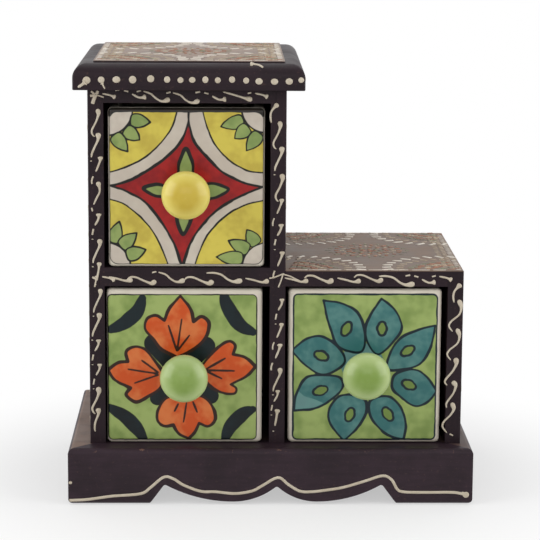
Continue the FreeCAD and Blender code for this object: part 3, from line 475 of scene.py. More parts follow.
def area_depth(places, points, sharp=()):
    """How deep each place lies inside a closed shape: positive inside, negative outside."""
    line = curve_between(points, True, sharp)
    away, _ = nearest(places, line, True)
    return np.where(inside_of(places, line), away, -away)


def stroke_depth(places, points, widest, ends):
    """The same for a brush stroke. Its ends have this share of its widest part."""
    line = curve_between(points, False)
    away, along = nearest(places, line, False)
    return widest / 2 * (ends + (1 - ends) * np.sin(np.pi * along)) - away


def stacked(depths):
    """Depth in shapes that lie one on another, each keeping its own edge."""
    under = depths[0]
    for over in depths[1:]:
        cut = np.where(under > 0, np.minimum(under, -over), np.maximum(under, over))
        under = np.where(over > 0, over, cut)
    return under


def disc_depth(places, centre, radius):
    return radius - np.linalg.norm(places - np.array(centre), axis=1)


def pile(depths):
    """Depth in several shapes of one colour taken together."""
    return np.max(np.array(depths), axis=0)


def leaf(base, tip, width):
    """Outline of a full leaf, from its tip down one side and up the other."""
    base, tip = np.array(base, float), np.array(tip, float)
    run = tip - base
    aside = np.array([-run[1], run[0]]) / np.linalg.norm(run) * width / 2
    return [tip, *(base + run * share + aside * spread for share, spread in LEAF_OUTLINE),
            *(base + run * share - aside * spread for share, spread in reversed(LEAF_OUTLINE))]


def framed_panel(places, left, bottom, right, top, corner=2.0):
    """Depth inside an upright panel with round corners."""
    middle = np.array([(left + right) / 2, (bottom + top) / 2])
    half = np.array([(right - left) / 2, (top - bottom) / 2])
    past = np.abs(places - middle) - half + corner
    return corner - np.linalg.norm(np.maximum(past, 0), axis=1) - np.minimum(past.max(axis=1), 0)


# Upper drawer: a red star between four yellow corners, with green leaves

STAR_TIPS = {"top": (1.0, 29.5), "right": (33.0, 0.5), "bottom": (-1.9, -35.0), "left": (-33.0, 1.0)}
# The points of each side of the star, from the tip that it leaves
STAR_SIDES = {
    "top": [(3.2, 20.6), (8.9, 13.6), (15.5, 7.2), (24.0, 2.8)],
    "right": [(23.5, -3.5), (14.2, -8.9), (6.3, -17.0), (1.4, -25.2)],
    "bottom": [(-5.1, -25.2), (-11.2, -14.4), (-17.8, -6.3), (-26.2, -1.4)],
    "left": [(-26.2, 2.7), (-17.6, 7.1), (-8.3, 13.8), (-1.9, 21.1)],
}
STAR_SEAMS = [(STAR_TIPS["top"], (0.9, 40.0)), (STAR_TIPS["left"], (-40.0, 1.2))]
SEAM_WIDTH = 0.9
CORNER_ARCS = [
    [(-4.2, 38.0), (-4.2, 32.7), (-7.3, 24.4), (-15.6, 15.1), (-24.8, 9.7), (-32.8, 7.0), (-38.0, 6.4)],
    [(38.0, 6.6), (32.1, 6.9), (26.1, 7.9), (18.2, 12.5), (11.5, 20.5), (7.2, 32.7), (6.9, 38.0)],
    [(-38.0, -4.4), (-32.9, -5.0), (-24.9, -8.4), (-15.0, -18.4), (-8.4, -32.6), (-8.0, -38.0)],
    [(3.4, -38.0), (3.9, -32.9), (8.9, -21.1), (16.9, -12.3), (24.9, -7.6), (32.8, -5.5), (38.0, -5.0)],
]
CORNER_POINTS = [(-40.0, 40.0), (40.0, 40.0), (-40.0, -40.0), (40.0, -40.0)]
CORNER_EYES = [((-34.5, 34.2), 11.4), ((34.6, 35.0), 10.8), ((-35.0, -34.6), 10.6), ((35.0, -34.6), 10.6)]
CORNER_LEAVES = [
    [((-24.6, 29.6), (-15.5, 28.6)), ((-27.0, 25.9), (-20.0, 20.9)), ((-31.6, 23.6), (-25.3, 15.9))],
    [((25.3, 29.8), (14.8, 26.8)), ((27.2, 27.0), (20.8, 21.6)), ((32.0, 24.6), (25.9, 16.3))],
    [((-32.2, -24.8), (-29.1, -14.8)), ((-29.0, -26.4), (-21.6, -19.8)), ((-26.6, -30.0), (-17.6, -27.1))],
    [((31.0, -25.4), (26.2, -18.2)), ((27.8, -27.6), (18.3, -23.1)), ((25.4, -31.0), (12.9, -30.3))],
]
CORNER_LEAF_WIDTH = 6.0
CENTRE_LEAVES = [((-0.3, 3.0), (-0.2, 17.2), 6.4), ((6.0, -1.6), (18.3, -0.6), 6.6),
                 ((-8.0, -1.6), (-18.7, -0.2), 5.2), ((-0.9, -8.5), (-1.4, -20.5), 6.0)]
# The panel that the painting fills: its left, bottom, right and top, and its corners' radius
UPPER_PANEL = (-33.2, -33.5, 33.3, 33.2, 3.4)
# The shade under the rim: the level where it starts, and how far it reaches to each side
TOP_SHADE_FOOT, TOP_SHADE_REACH = 31.2, 33.6


def upper_painting(places):
    """How deep each place on the upper drawer's face lies in each of its painted shapes."""
    star, sharp = [], []
    for tip, side in STAR_SIDES.items():
        sharp.append(len(star))
        star += [STAR_TIPS[tip], *side]
    corners = [area_depth(places, [*arc, corner], (0, len(arc) - 1, len(arc)))
               for arc, corner in zip(CORNER_ARCS, CORNER_POINTS)]
    leaves = [area_depth(places, leaf(base, tip, CORNER_LEAF_WIDTH), (0,))
              for group in CORNER_LEAVES for base, tip in group]
    beyond = -framed_panel(places, *UPPER_PANEL)
    shaded = np.minimum(places[:, 1] - TOP_SHADE_FOOT, TOP_SHADE_REACH - np.abs(places[:, 0]))
    return {
        "corner_quarters": pile(corners),
        "star": area_depth(places, star, sharp),
        "star_seams": pile([stroke_depth(places, seam, SEAM_WIDTH, ends=1.0) for seam in STAR_SEAMS]),
        "corner_eyes": pile([disc_depth(places, *eye) for eye in CORNER_EYES]),
        "corner_leaves": stacked(leaves),
        "centre_leaves": pile([area_depth(places, leaf(*sizes)) for sizes in CENTRE_LEAVES]),
        "margin": beyond,
        "top_shade": np.minimum(beyond, shaded),
    }


UPPER_GROUND = (BAND_CREAM, CHINA_CREAM, 0.5)
UPPER_LAYERS = [
    ("corner_quarters", QUARTER_YELLOW, QUARTER_OCHRE, 0.45, OUTLINE_DARK, 0.75),
    ("star", STAR_RED, STAR_CRIMSON, 0.6, OUTLINE_DARK, 1.15),
    ("star_seams", OUTLINE_DARK, OUTLINE_DARK, 0.0, OUTLINE_DARK, 0.0),
    ("corner_eyes", BAND_CREAM, CHINA_CREAM, 0.6, OUTLINE_DARK, 0.8),
    ("corner_leaves", LEAF_GREEN, LEAF_SHADE, 0.6, OUTLINE_DARK, 0.7),
    ("centre_leaves", LEAF_GREEN, LEAF_SHADE, 0.5, OUTLINE_DARK, 1.5),
    ("margin", CHINA_CREAM, BAND_CREAM, 0.3, OUTLINE_DARK, 0.3),
    ("top_shade", RIM_SHADE, OUTLINE_DARK, 0.6, OUTLINE_DARK, 0.5),
]

# Lower drawer: four orange three-lobed flowers on green, with dark arcs over the corners

FLOWERS = [
    [(-3.2, 4.0), (-10.0, 7.6), (-13.6, 12.2), (-17.2, 16.9), (-16.2, 21.4), (-12.4, 22.8), (-8.8, 20.6),
     (-6.6, 26.0), (-1.8, 31.6), (2.6, 26.0), (4.0, 20.0), (7.4, 22.4), (10.6, 19.8), (10.2, 15.0),
     (7.4, 10.6), (3.0, 7.0)],
    [(6.0, -2.4), (9.2, 2.4), (15.0, 8.8), (19.6, 11.3), (22.3, 9.4), (21.4, 5.4), (27.0, 3.8),
     (31.4, -0.2), (27.0, -4.6), (20.4, -8.2), (22.8, -10.0), (21.8, -12.4), (16.0, -11.8), (10.6, -8.4)],
    [(-9.0, -3.4), (-13.0, 2.4), (-17.2, 7.4), (-21.6, 8.8), (-25.6, 6.6), (-24.8, 2.0), (-29.4, 1.4),
     (-33.7, -1.9), (-30.4, -6.4), (-23.8, -9.9), (-25.7, -13.0), (-21.4, -16.2), (-16.2, -13.8),
     (-10.4, -9.6)],
    [(0.2, -12.0), (-8.0, -14.4), (-11.6, -19.4), (-12.0, -24.6), (-9.0, -27.2), (-5.0, -26.6),
     (-2.6, -30.6), (1.8, -32.9), (4.6, -29.6), (6.4, -25.8), (10.6, -27.2), (13.6, -24.0),
     (12.4, -18.4), (8.4, -14.0)],
]
FLOWER_CORNERS = [(0, 6, 8, 10), (0, 5, 7, 9), (0, 5, 7, 9), (0, 5, 7, 9)]
FLOWER_VEINS = [
    ((-3.4, 7.0), (-7.0, 18.3)), ((-3.2, 7.0), (-1.2, 21.2)), ((-3.0, 7.0), (2.2, 13.9)),
    ((9.4, -1.4), (17.9, 3.6)), ((9.6, -1.8), (21.9, -2.1)), ((9.4, -2.2), (16.4, -5.6)),
    ((-11.6, -2.8), (-18.8, 2.6)), ((-12.0, -3.4), (-24.7, -1.4)), ((-11.6, -4.0), (-21.9, -7.6)),
    ((-2.8, -17.1), (-4.4, -20.3)), ((0.9, -16.5), (-0.5, -25.4)), ((3.7, -16.1), (5.6, -20.9)),
]
DARK_STUBS = [([(-3.0, -0.6), (-13.2, 10.2)], 8.6), ([(2.6, 2.0), (9.6, 9.2)], 7.6),
              ([(-3.6, -7.0), (-11.8, -14.4)], 6.6), ([(4.2, -7.0), (11.4, -13.4)], 7.2)]
CORNER_CRESCENTS = [
    [(-18.4, 30.4), (-20.6, 24.6), (-26.0, 19.6), (-32.4, 16.4)],
    [(17.0, 32.4), (19.0, 26.6), (24.0, 18.8), (30.0, 15.4)],
    [(-33.0, -18.7), (-26.5, -22.7), (-21.5, -27.7), (-18.0, -32.9)],
    [(30.0, -19.6), (25.6, -21.8), (20.4, -27.2), (17.6, -33.4)],
]
CRESCENT_WIDTH = 6.3
VEIN_WIDTH = 1.0
LOWER_PANEL = (-33.6, -33.2, 31.7, 32.1)


def lower_painting(places):
    """The same for the lower drawer."""
    return {
        "crescents": pile([stroke_depth(places, arc, CRESCENT_WIDTH, ends=0.5) for arc in CORNER_CRESCENTS]),
        "stubs": pile([stroke_depth(places, *stub, ends=1.0) for stub in DARK_STUBS]),
        "flowers": pile([area_depth(places, *flower) for flower in zip(FLOWERS, FLOWER_CORNERS)]),
        "veins": pile([stroke_depth(places, vein, VEIN_WIDTH, ends=0.7) for vein in FLOWER_VEINS]),
        "margin": -framed_panel(places, *LOWER_PANEL),
    }


LOWER_GROUND = (FIELD_GREEN, FIELD_SHADE, 0.8)
LOWER_LAYERS = [
    ("crescents", CRESCENT_NAVY, CRESCENT_BLACK, 0.8, CRESCENT_BLACK, 0.2),
    ("stubs", CRESCENT_NAVY, CRESCENT_BLACK, 0.8, CRESCENT_BLACK, 0.3),
    ("flowers", FLOWER_ORANGE, FLOWER_PALE, 0.7, OUTLINE_BROWN, 1.4),
    ("veins", OUTLINE_BROWN, OUTLINE_BROWN, 0.0, OUTLINE_BROWN, 0.0),
    ("margin", CHINA_CREAM, BAND_CREAM, 0.3, OUTLINE_DARK, 0.5),
]

# Side drawer: a pinwheel of eight teal petals on green, each with a green seed

PETALS = [
    [(-18.3, 29.6), (-17.2, 24.0), (-15.5, 18.1), (-11.5, 9.0), (-1.6, 6.6), (0.1, 14.7), (-3.0, 23.7),
     (-9.8, 28.2)],
    [(7.1, 30.6), (2.6, 23.7), (0.1, 16.9), (1.5, 10.2), (6.2, 5.4), (13.6, 12.4), (16.2, 18.1),
     (13.4, 25.0)],
    [(31.0, 18.6), (24.0, 16.7), (16.1, 13.0), (11.6, 6.8), (10.3, -1.1), (18.4, -1.1), (25.2, 1.7),
     (29.1, 9.0)],
    [(32.2, -11.1), (27.4, -4.5), (21.8, -1.4), (13.9, -3.4), (12.4, -9.6), (17.3, -14.7), (22.9, -18.1),
     (28.6, -15.8)],
    [(17.8, -33.4), (18.7, -26.0), (16.1, -18.1), (10.5, -13.5), (3.0, -15.4), (2.6, -21.4), (6.0, -27.1),
     (11.6, -31.6)],
    [(-8.7, -33.9), (-3.0, -28.2), (0.9, -21.4), (0.6, -15.4), (-4.2, -13.0), (-10.9, -13.5),
     (-15.3, -19.4), (-14.7, -26.2)],
    [(-31.0, -20.1), (-29.9, -12.4), (-25.6, -5.1), (-18.8, -4.0), (-10.9, -5.0), (-9.8, -10.2),
     (-15.5, -15.8), (-22.2, -19.2)],
    [(-32.2, 7.1), (-25.6, 12.4), (-18.8, 13.5), (-12.1, 9.0), (-8.7, 2.3), (-14.3, -2.8),
     (-20.0, -3.4), (-26.7, 1.1)],
]
PALE_WASH = [(-30.9, -19.8), (-30.4, -9.8), (-26.5, -13.6), (-21.0, -15.2), (-17.4, -17.0), (-24.5, -20.0)]
# How far the wash keeps inside its petal's edge
PALE_WASH_INSET = 0.7
SEEDS = [((-9.8, 13.2), (-6.4, 20.6)), ((7.4, 13.4), (7.6, 20.8)), ((15.6, 5.0), (22.4, 9.2)),
         ((16.2, -6.6), (23.4, -10.0)), ((8.4, -18.0), (12.8, -25.2)), ((-5.0, -18.2), (-7.4, -25.6)),
         ((-15.4, -9.8), (-23.2, -12.2)), ((-15.4, 3.2), (-22.8, 6.4))]
SEED_WIDTH = 4.2
HEART = ((-1.0, 1.2), 9.4)
# A seed's ends, as shares of the way back from its tip to its base
SEED_ENDS = (0.72, 0.28)
SIDE_PANEL = (-31.4, -33.1, 31.6, 32.4)


def side_painting(places):
    """The same for the side drawer."""
    petals = stacked([area_depth(places, petal, (0,)) for petal in PETALS])
    wash = area_depth(places, PALE_WASH, range(len(PALE_WASH)))
    seeds = [[[b * near + t * (1 - near) for b, t in zip(base, tip)] for near in SEED_ENDS]
             for base, tip in SEEDS]
    return {
        "heart": disc_depth(places, *HEART),
        "petals": petals,
        "pale_wash": np.minimum(wash, petals - PALE_WASH_INSET),
        "seeds": pile([stroke_depth(places, seed, SEED_WIDTH, ends=0.72) for seed in seeds]),
        "margin": -framed_panel(places, *SIDE_PANEL),
    }


SIDE_GROUND = (FIELD_GREEN, FIELD_SHADE, 0.8)
SIDE_LAYERS = [
    ("heart", GAP_TEAL, PETAL_TEAL, 0.5, GAP_TEAL, 0.0),
    ("petals", PETAL_TEAL, PETAL_PALE, 0.6, OUTLINE_NAVY, 1.1),
    ("pale_wash", PETAL_PALE, GAP_TEAL, 0.8, PETAL_PALE, 0.0),
    ("seeds", SEED_GREEN, FIELD_SHADE, 0.5, OUTLINE_NAVY, 1.0),
    ("margin", CHINA_CREAM, BAND_CREAM, 0.3, OUTLINE_NAVY, 0.8),
]

# Meshes made of rings, one over another

# How many points a ring has along its front and round a corner, and a corner's least radius in mm
FRONT_POINTS, BEND_POINTS, LEAST_RADIUS = 150, 9, 0.05


def rounded_ring(low, high, inset, corner, level):
    """A level ring round a rectangle in plan, in mm, with close points along its front edge."""
    left, front = low[0] + inset, low[1] + inset
    right, back = high[0] - inset, high[1] - inset
    radius = max(corner - inset, LEAST_RADIUS)
    edge = [(x, front) for x in np.linspace(left + radius, right - radius, FRONT_POINTS)]
    bends = []
    for x, y, start in ((right - radius, front + radius, -90), (right - radius, back - radius, 0),
                        (left + radius, back - radius, 90), (left + radius, front + radius, 180)):
        for turn in np.linspace(0, 90, BEND_POINTS):
            angle = math.radians(start + turn)
            bends.append((x + radius * math.cos(angle), y + radius * math.sin(angle)))
    return [(x, y, level) for x, y in edge + bends[1:-1]]


def quarter(radius, steps=6):
    """Pairs of inset and rise round a quarter circle, from the flat end to the upright end."""
    return [(radius * (1 - math.sin(turn)), radius * (1 - math.cos(turn)))
            for turn in np.linspace(0, math.pi / 2, steps)]


def mesh_from_rings(name, rings):
    """A closed skin over rings that each have the same number of points, from the bottom up and inwards."""
    count = len(rings[0])
    points = [tuple(c * MM for c in point) for ring in rings for point in ring]
    faces = [list(range(count))[::-1]]
    for number in range(len(rings) - 1):
        base = number * count
        for index in range(count):
            following = (index + 1) % count
            faces.append([base + index, base + following, base + count + following, base + count + index])
    faces.append([(len(rings) - 1) * count + index for index in range(count)])
    mesh = bpy.data.meshes.new(name)
    mesh.from_pydata(points, [], faces)
    mesh.validate()
    for polygon in mesh.polygons:
        polygon.use_smooth = True
    return add_object(name, mesh)


# Drawer tubs in mm: their round edges, their walls and floor
TUB_CORNER, TUB_FOOT, TUB_RIM, TUB_LIP = 2.4, 2.0, 1.8, 1.0
TUB_WALL, TUB_FLOOR, HOLLOW_CORNER = 4.5, 5.0, 3.0
# The step between a face's rings, how deep its waves are, and how near its edges they fade
FACE_STEP, FACE_WAVE, CALM_RIM = 0.45, 0.16, 6.0
# How far back from the face the shade under the rim runs
RIM_LINE_DEPTH = 1.1
# Off the face, a place counts as this deep in the margin, and as far outside every other shape
NOT_PAINTED = 9.0
# An edge that turns by more degrees than this is a crease
TUB_CREASE = 50


def lay_painting(piece, painting, low, high):
    """Stores how deep a tub's points lie in each painted shape, and makes its face a little wavy."""
    count = len(piece.data.vertices)
    places = np.empty(count * 3)
    piece.data.vertices.foreach_get("co", places)
    places = places.reshape(-1, 3) / MM
    on_face = places[:, 1] < low[1] + TUB_CORNER
    middle = np.array([(low[0] + high[0]) / 2, (low[2] + high[2]) / 2])
    flat = places[:, [0, 2]][on_face] - middle
    behind = places[:, 1][on_face] - low[1]
    for attribute, depth in painting(flat).items():
        values = np.full(count, NOT_PAINTED if attribute == "margin" else -NOT_PAINTED)
        values[on_face] = np.minimum(depth, RIM_LINE_DEPTH - behind) if attribute == "top_shade" else depth
        piece.data.attributes.new(attribute, "FLOAT", "POINT").data.foreach_set("value", values)
    x, z = flat[:, 0], flat[:, 1]
    half = (high[0] - low[0]) / 2
    calm = np.clip((half - np.abs(x)) / CALM_RIM, 0, 1) * np.clip((half - np.abs(z)) / CALM_RIM, 0, 1)
    # The waves stay between -1.5 and 1.5, so the face only ever goes inwards
    wave = np.sin(x * 0.13 + 1.3) * np.cos(z * 0.11 - 0.6) + 0.5 * np.sin((x + z) * 0.21)
    places[on_face, 1] += FACE_WAVE * calm * (1.5 + wave) / 3
    piece.data.vertices.foreach_set("co", (places * MM).ravel())


def make_tub(name, painting, ground, layers):
    """One-piece china drawer with its painting on the front."""
    low, high = box_of(f"{name}_drawer_tub")
    floor = low[2] + TUB_FLOOR
    steps = int((high[2] - low[2] - TUB_FOOT - TUB_RIM) / FACE_STEP)
    outer = [(inset, low[2] + rise) for inset, rise in quarter(TUB_FOOT)]
    outer += [(0, level) for level in np.linspace(low[2] + TUB_FOOT, high[2] - TUB_RIM, steps)[1:]]
    outer += [(inset, high[2] - fall) for inset, fall in reversed(quarter(TUB_RIM))]
    inner = [(TUB_WALL - inset, high[2] - fall) for inset, fall in quarter(TUB_LIP)]
    inner += [(TUB_WALL, (high[2] + floor) / 2)]
    inner += [(TUB_WALL + inset, floor + rise) for inset, rise in reversed(quarter(TUB_FOOT))]
    rings = [rounded_ring(low, high, inset, TUB_CORNER, level) for inset, level in outer]
    rings += [rounded_ring(low, high, inset, HOLLOW_CORNER + TUB_WALL, level) for inset, level in inner]
    piece = mesh_from_rings(f"{name}_drawer_china", rings)
    lay_painting(piece, painting, low, high)
    piece.data.materials.append(painted_china(f"{name}_painted_china", ground, layers))
    piece.data.set_sharp_from_angle(angle=math.radians(TUB_CREASE))
    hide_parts(f"{name}_drawer_tub")
    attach(piece, f"{name}_drawer")


# Raised trim: strokes and dots squeezed on, laid on a face and turned to it

FACE_INPUTS = [("Flatness", "Float", 0.5), ("Face Place", "Vector", None), ("Face Turn", "Rotation", None),
               ("Material", "Material", None)]
# A stroke's thickness along its length: a round head and a long thin tail
BEAD_PROFILE = [(0.0, 0.40), (0.03, 0.82), (0.08, 1.0), (0.15, 0.86), (0.24, 0.54), (0.36, 0.41),
                (0.85, 0.36), (1.0, 0.20)]
DOT_SEED = 7
# The smallest and the largest that a drop comes out along each axis
DOT_LEAST, DOT_MOST = (0.88, 0.9, 0.88), (1.1, 1.05, 1.1)
# How each face is turned from the front, in degrees. The brow is the cap's round front edge.
STRAY_LEAN = 60
TURN_TO = {"front": (0, 0, 0), "left": (0, 0, -90), "right": (0, 0, 90), "top": (-90, 0, 0),
           "brow": (-STRAY_LEAN, 0, 0)}


def geometry_tree(name, inputs):
    """An empty geometry tree, with the identifier of each of its inputs (name, kind, default)."""
    tree = bpy.data.node_groups.new(name, "GeometryNodeTree")
    tree.interface.new_socket("Geometry", in_out="INPUT", socket_type="NodeSocketGeometry")
    identifiers = {}
    for label, kind, default in [*inputs, *FACE_INPUTS]:
        socket = tree.interface.new_socket(label, in_out="INPUT", socket_type="NodeSocket" + kind)
        if default is not None:
            socket.default_value = default
        identifiers[label] = socket.identifier
    tree.interface.new_socket("Geometry", in_out="OUTPUT", socket_type="NodeSocketGeometry")
    return tree, tree.nodes.new("NodeGroupInput"), tree.nodes.new("NodeGroupOutput"), identifiers


def flattened(w, shape, given):
    """A bead or a drop pressed flat against an upright face."""
    squash = w.node("ShaderNodeCombineXYZ", X=1.0, Y=given.outputs["Flatness"], Z=1.0)
    return w.node("GeometryNodeTransform", Geometry=shape, Scale=squash.outputs[0]).outputs[0]


def end_tree(w, shapes, given, made):
    """Smooths what was made on an upright face, turns it to its own face and gives it its material."""
    smooth = w.node("GeometryNodeSetShadeSmooth", Geometry=shapes)
    moved = w.node("GeometryNodeTransform", Geometry=smooth.outputs[0],
                   Translation=given.outputs["Face Place"], Rotation=given.outputs["Face Turn"])
    real = w.node("GeometryNodeRealizeInstances", Geometry=moved.outputs[0])
    painted = w.node("GeometryNodeSetMaterial", Geometry=real.outputs[0], Material=given.outputs["Material"])
    w.join(painted.outputs[0], made.inputs[0])


def make_stroke_tree():
    """Beads that follow curves: a round head and a long thin tail, or one even bead where Taper is 0."""
    tree, given, made, names = geometry_tree("squeezed_strokes", [
        ("Bead Radius", "Float", 1.0), ("Taper", "Float", 1.0), ("Points", "Int", 30)])
    w = Wiring(tree)
    closer = w.node("GeometryNodeResampleCurve", {"mode": "COUNT"}, Curve=given.outputs["Geometry"],
                    Count=given.outputs["Points"])
    profile = w.float_curve(w.node("GeometryNodeSplineParameter").outputs["Factor"], BEAD_PROFILE)
    taper = given.outputs["Taper"]
    shape = w.maths("ADD", w.maths("MULTIPLY", profile, taper), w.maths("SUBTRACT", 1.0, taper))
    radius = w.node("GeometryNodeInputRadius").outputs[0]
    size = w.maths("MULTIPLY", w.maths("MULTIPLY", shape, radius), given.outputs["Bead Radius"])
    section = w.node("GeometryNodeCurvePrimitiveCircle", Resolution=10, Radius=1.0)
    bead = w.node("GeometryNodeCurveToMesh", Curve=closer.outputs[0], Profile_Curve=section.outputs[0],
                  Scale=size, Fill_Caps=True)
    end_tree(w, flattened(w, bead.outputs[0], given), given, made)
    return tree, names


def make_dot_tree():
    """Drops squeezed on at points, none quite like the next."""
    tree, given, made, names = geometry_tree("squeezed_dots", [("Dot Radius", "Float", 1.0)])
    w = Wiring(tree)
    points = w.node("GeometryNodeMeshToPoints", Mesh=given.outputs["Geometry"])
    drop = w.node("GeometryNodeMeshUVSphere", Segments=16, Rings=8, Radius=1.0)
    uneven = w.node("FunctionNodeRandomValue", {"data_type": "FLOAT_VECTOR"}, Seed=DOT_SEED)
    w.join(DOT_LEAST, uneven.inputs[0])
    w.join(DOT_MOST, uneven.inputs[1])
    size = w.node("GeometryNodeInputNamedAttribute", {"data_type": "FLOAT"}, Name="dot_size").outputs[0]
    scale = w.node("ShaderNodeVectorMath", {"operation": "SCALE"}, Vector=uneven.outputs[0],
                   Scale=w.maths("MULTIPLY", size, given.outputs["Dot Radius"]))
    drops = w.node("GeometryNodeInstanceOnPoints", Points=points.outputs[0],
                   Instance=flattened(w, drop.outputs[0], given), Scale=scale.outputs[0])
    end_tree(w, drops.outputs[0], given, made)
    return tree, names


STROKE_TREE = make_stroke_tree()
DOT_TREE = make_dot_tree()


def run_tree(data, tree_and_names, face, place, material, sizes):
    """The plain mesh that a tree makes of a curve or of points on one face of the case."""
    tree, names = tree_and_names
    source = add_object(data.name, data)
    maker = source.modifiers.new("trim", "NODES")
    maker.node_group = tree
    settings = {"Face Place": [c * MM for c in place], "Material": material, **sizes,
                "Face Turn": [math.radians(angle) for angle in TURN_TO[face]]}
    for label, setting in settings.items():
        maker[names[label]] = setting
    bpy.context.view_layer.update()
    seen = source.evaluated_get(bpy.context.evaluated_depsgraph_get())
    mesh = bpy.data.meshes.new_from_object(seen)
    bpy.data.objects.remove(source)
    mesh.materials.clear()
    mesh.materials.append(material)
    return mesh


TRIM = trim_material("squeezed_white", TRIM_WHITE, TRIM_SHADE)
DAB_PAINTS = {"white": trim_material("white_dabs", DAB_WHITE, DAB_BONE),
              "orange": trim_material("orange_dabs", DAB_ORANGE, DAB_BROWN, amount=0.9),
              "cream": trim_material("cream_dabs", DAB_CREAM, DAB_TAN, amount=0.9),
              "green": trim_material("green_dabs", DAB_GREEN, DAB_GREY, amount=0.9)}
# Radii in mm of a stroke's head, of a loose dash and of a dot
HEAD_RADIUS, TAIL_RADIUS, DOT_RADIUS = 1.15, 0.36, 1.5
# How deep in mm the middle of a dot lies under its face
DOT_SINK = 0.05


def strokes_mesh(strokes, face, place, bead, material=TRIM, flatness=0.5, taper=1.0, points=30):
    """Strokes in mm on a face. A stroke is its points from head to tail, and its size."""
    curve = bpy.data.curves.new("strokes", "CURVE")
    curve.dimensions = "3D"
    for stroke, size in strokes:
        line = curve_between(stroke, False)
        spline = curve.splines.new("POLY")
        spline.points.add(len(line) - 1)
        for point, (x, z) in zip(spline.points, line):
            point.co = (x * MM, 0, z * MM, 1)
            point.radius = size
    return run_tree(curve, STROKE_TREE, face, place, material,
                    {"Bead Radius": bead * MM, "Flatness": flatness, "Taper": taper, "Points": points})


def dots_mesh(dots, face, place, flatness):
    """White dots in mm on a face. A dot is its x, its z and its size."""
    mesh = bpy.data.meshes.new("dots")
    mesh.from_pydata([(x * MM, 0, z * MM) for x, z, _ in dots], [], [])
    sizes = mesh.attributes.new("dot_size", "FLOAT", "POINT")
    for item, (_, _, size) in zip(sizes.data, dots):
        item.value = size
    return run_tree(mesh, DOT_TREE, face, place, TRIM, {"Dot Radius": DOT_RADIUS * MM, "Flatness": flatness})


def trim_piece(name, meshes):
    """One piece of trim on the case, from several meshes."""
    points, faces, materials, marks = [], [], [], []
    for mesh in meshes:
        base = len(points)
        points += [tuple(vertex.co) for vertex in mesh.vertices]
        faces += [[base + index for index in polygon.vertices] for polygon in mesh.polygons]
        if mesh.materials[0] not in materials:
            materials.append(mesh.materials[0])
        marks += [materials.index(mesh.materials[0])] * len(mesh.polygons)
    joined = bpy.data.meshes.new(name)
    joined.from_pydata(points, [], faces)
    joined.polygons.foreach_set("material_index", marks)
    joined.polygons.foreach_set("use_smooth", [True] * len(faces))
    for material in materials:
        joined.materials.append(material)
    piece = add_object(name, joined)
    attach(piece, "case")


# The maker's strokes. Each is a tail in mm from its head, and the broken-off dashes beyond it

STROKES = {
    "curl": ([(0, 0), (-1.7, -1.3), (-4.8, -0.3), (-8.4, 1.3), (-11.0, 1.4), (-12.4, 0.3)], []),
    "sweep": ([(0, 0), (-2.9, -0.7), (-6.5, 0.2), (-10.2, 1.0)], []),
    "rise": ([(0, 0), (-3.2, -1.0), (-5.9, 0.2), (-8.3, 2.3), (-11.4, 3.3)], [[(-12.4, 3.6), (-14.2, 3.1)]]),
    "swell": ([(0, 0), (-3.6, -0.6), (-6.3, 0.4), (-9.2, 2.5), (-12.5, 3.3), (-15.6, 3.2)], []),
    "snap": ([(0, 0), (-3.0, -0.3), (-6.0, 1.2)], [[(-7.6, 2.2), (-9.4, 2.7)], [(-11.2, 3.1), (-13.2, 2.7)]]),
    "flick": ([(0, 0), (-2.6, 1.0), (-5.6, 1.6)], [[(-7.2, 1.9), (-8.8, 1.5)]]),
    "lean": ([(0, 0), (-3.9, 0.9), (-8.5, 2.3), (-12.6, 3.4)], []),
    "hook": ([(0, 0), (0.5, -2.2), (-0.6, -5.6), (-2.4, -9.2), (-2.1, -11.2), (-1.2, -12.0)], []),
    "fall": ([(0, 0), (0.1, -2.6), (-1.2, -5.6), (-2.6, -8.8), (-2.9, -10.6)],
             [[(-3.0, -12.0), (-3.0, -12.4)]]),
    "break": ([(0, 0), (-0.1, -2.0), (-1.9, -6.6)], [[(-3.1, -8.6), (-3.7, -10.4), (-3.7, -12.0)]]),
    "bend": ([(0, 0), (0.8, -4.0), (-0.6, -7.2), (-1.9, -10.0)], [[(-2.8, -11.4), (-2.4, -13.0)]]),
    "drip": ([(0, 0), (-0.1, -2.4), (-1.6, -5.2)],
             [[(-2.3, -6.8), (-2.8, -9.4)], [(-2.7, -11.2), (-2.7, -11.5)]]),
    "straight": ([(0, 0), (-0.4, -3.4), (-1.1, -7.6)], [[(-1.8, -9.8), (-1.8, -10.2)]]),
    "ess": ([(0, 0), (1.2, -3.2), (0.4, -6.6), (-3.0, -9.6), (-4.0, -11.8), (-2.4, -14.2)], []),
    "wave": ([(0, 0), (0.5, -2.6), (-1.0, -5.9), (-3.8, -9.4), (-4.4, -11.0), (-3.4, -12.4)], []),
    "turn": ([(0, 0), (-2.6, -3.0), (-3.2, -5.5), (-2.8, -8.2)], []),
    "curve": ([(0, 0), (1.6, -1.8), (0.6, -5.4), (-2.2, -9.6), (-2.2, -12.0)], []),
    "end": ([(0, 0), (1.0, -2.8), (-0.4, -5.6), (-3.2, -8.6), (-3.8, -11.0), (-1.8, -13.8)],
            [[(-0.6, -14.3), (0.9, -15.0)]]),
    "foot": ([(0, 0), (0.2, -2.6), (-1.2, -6.4), (-1.5, -9.4), (-1.2, -10.6)], []),
}
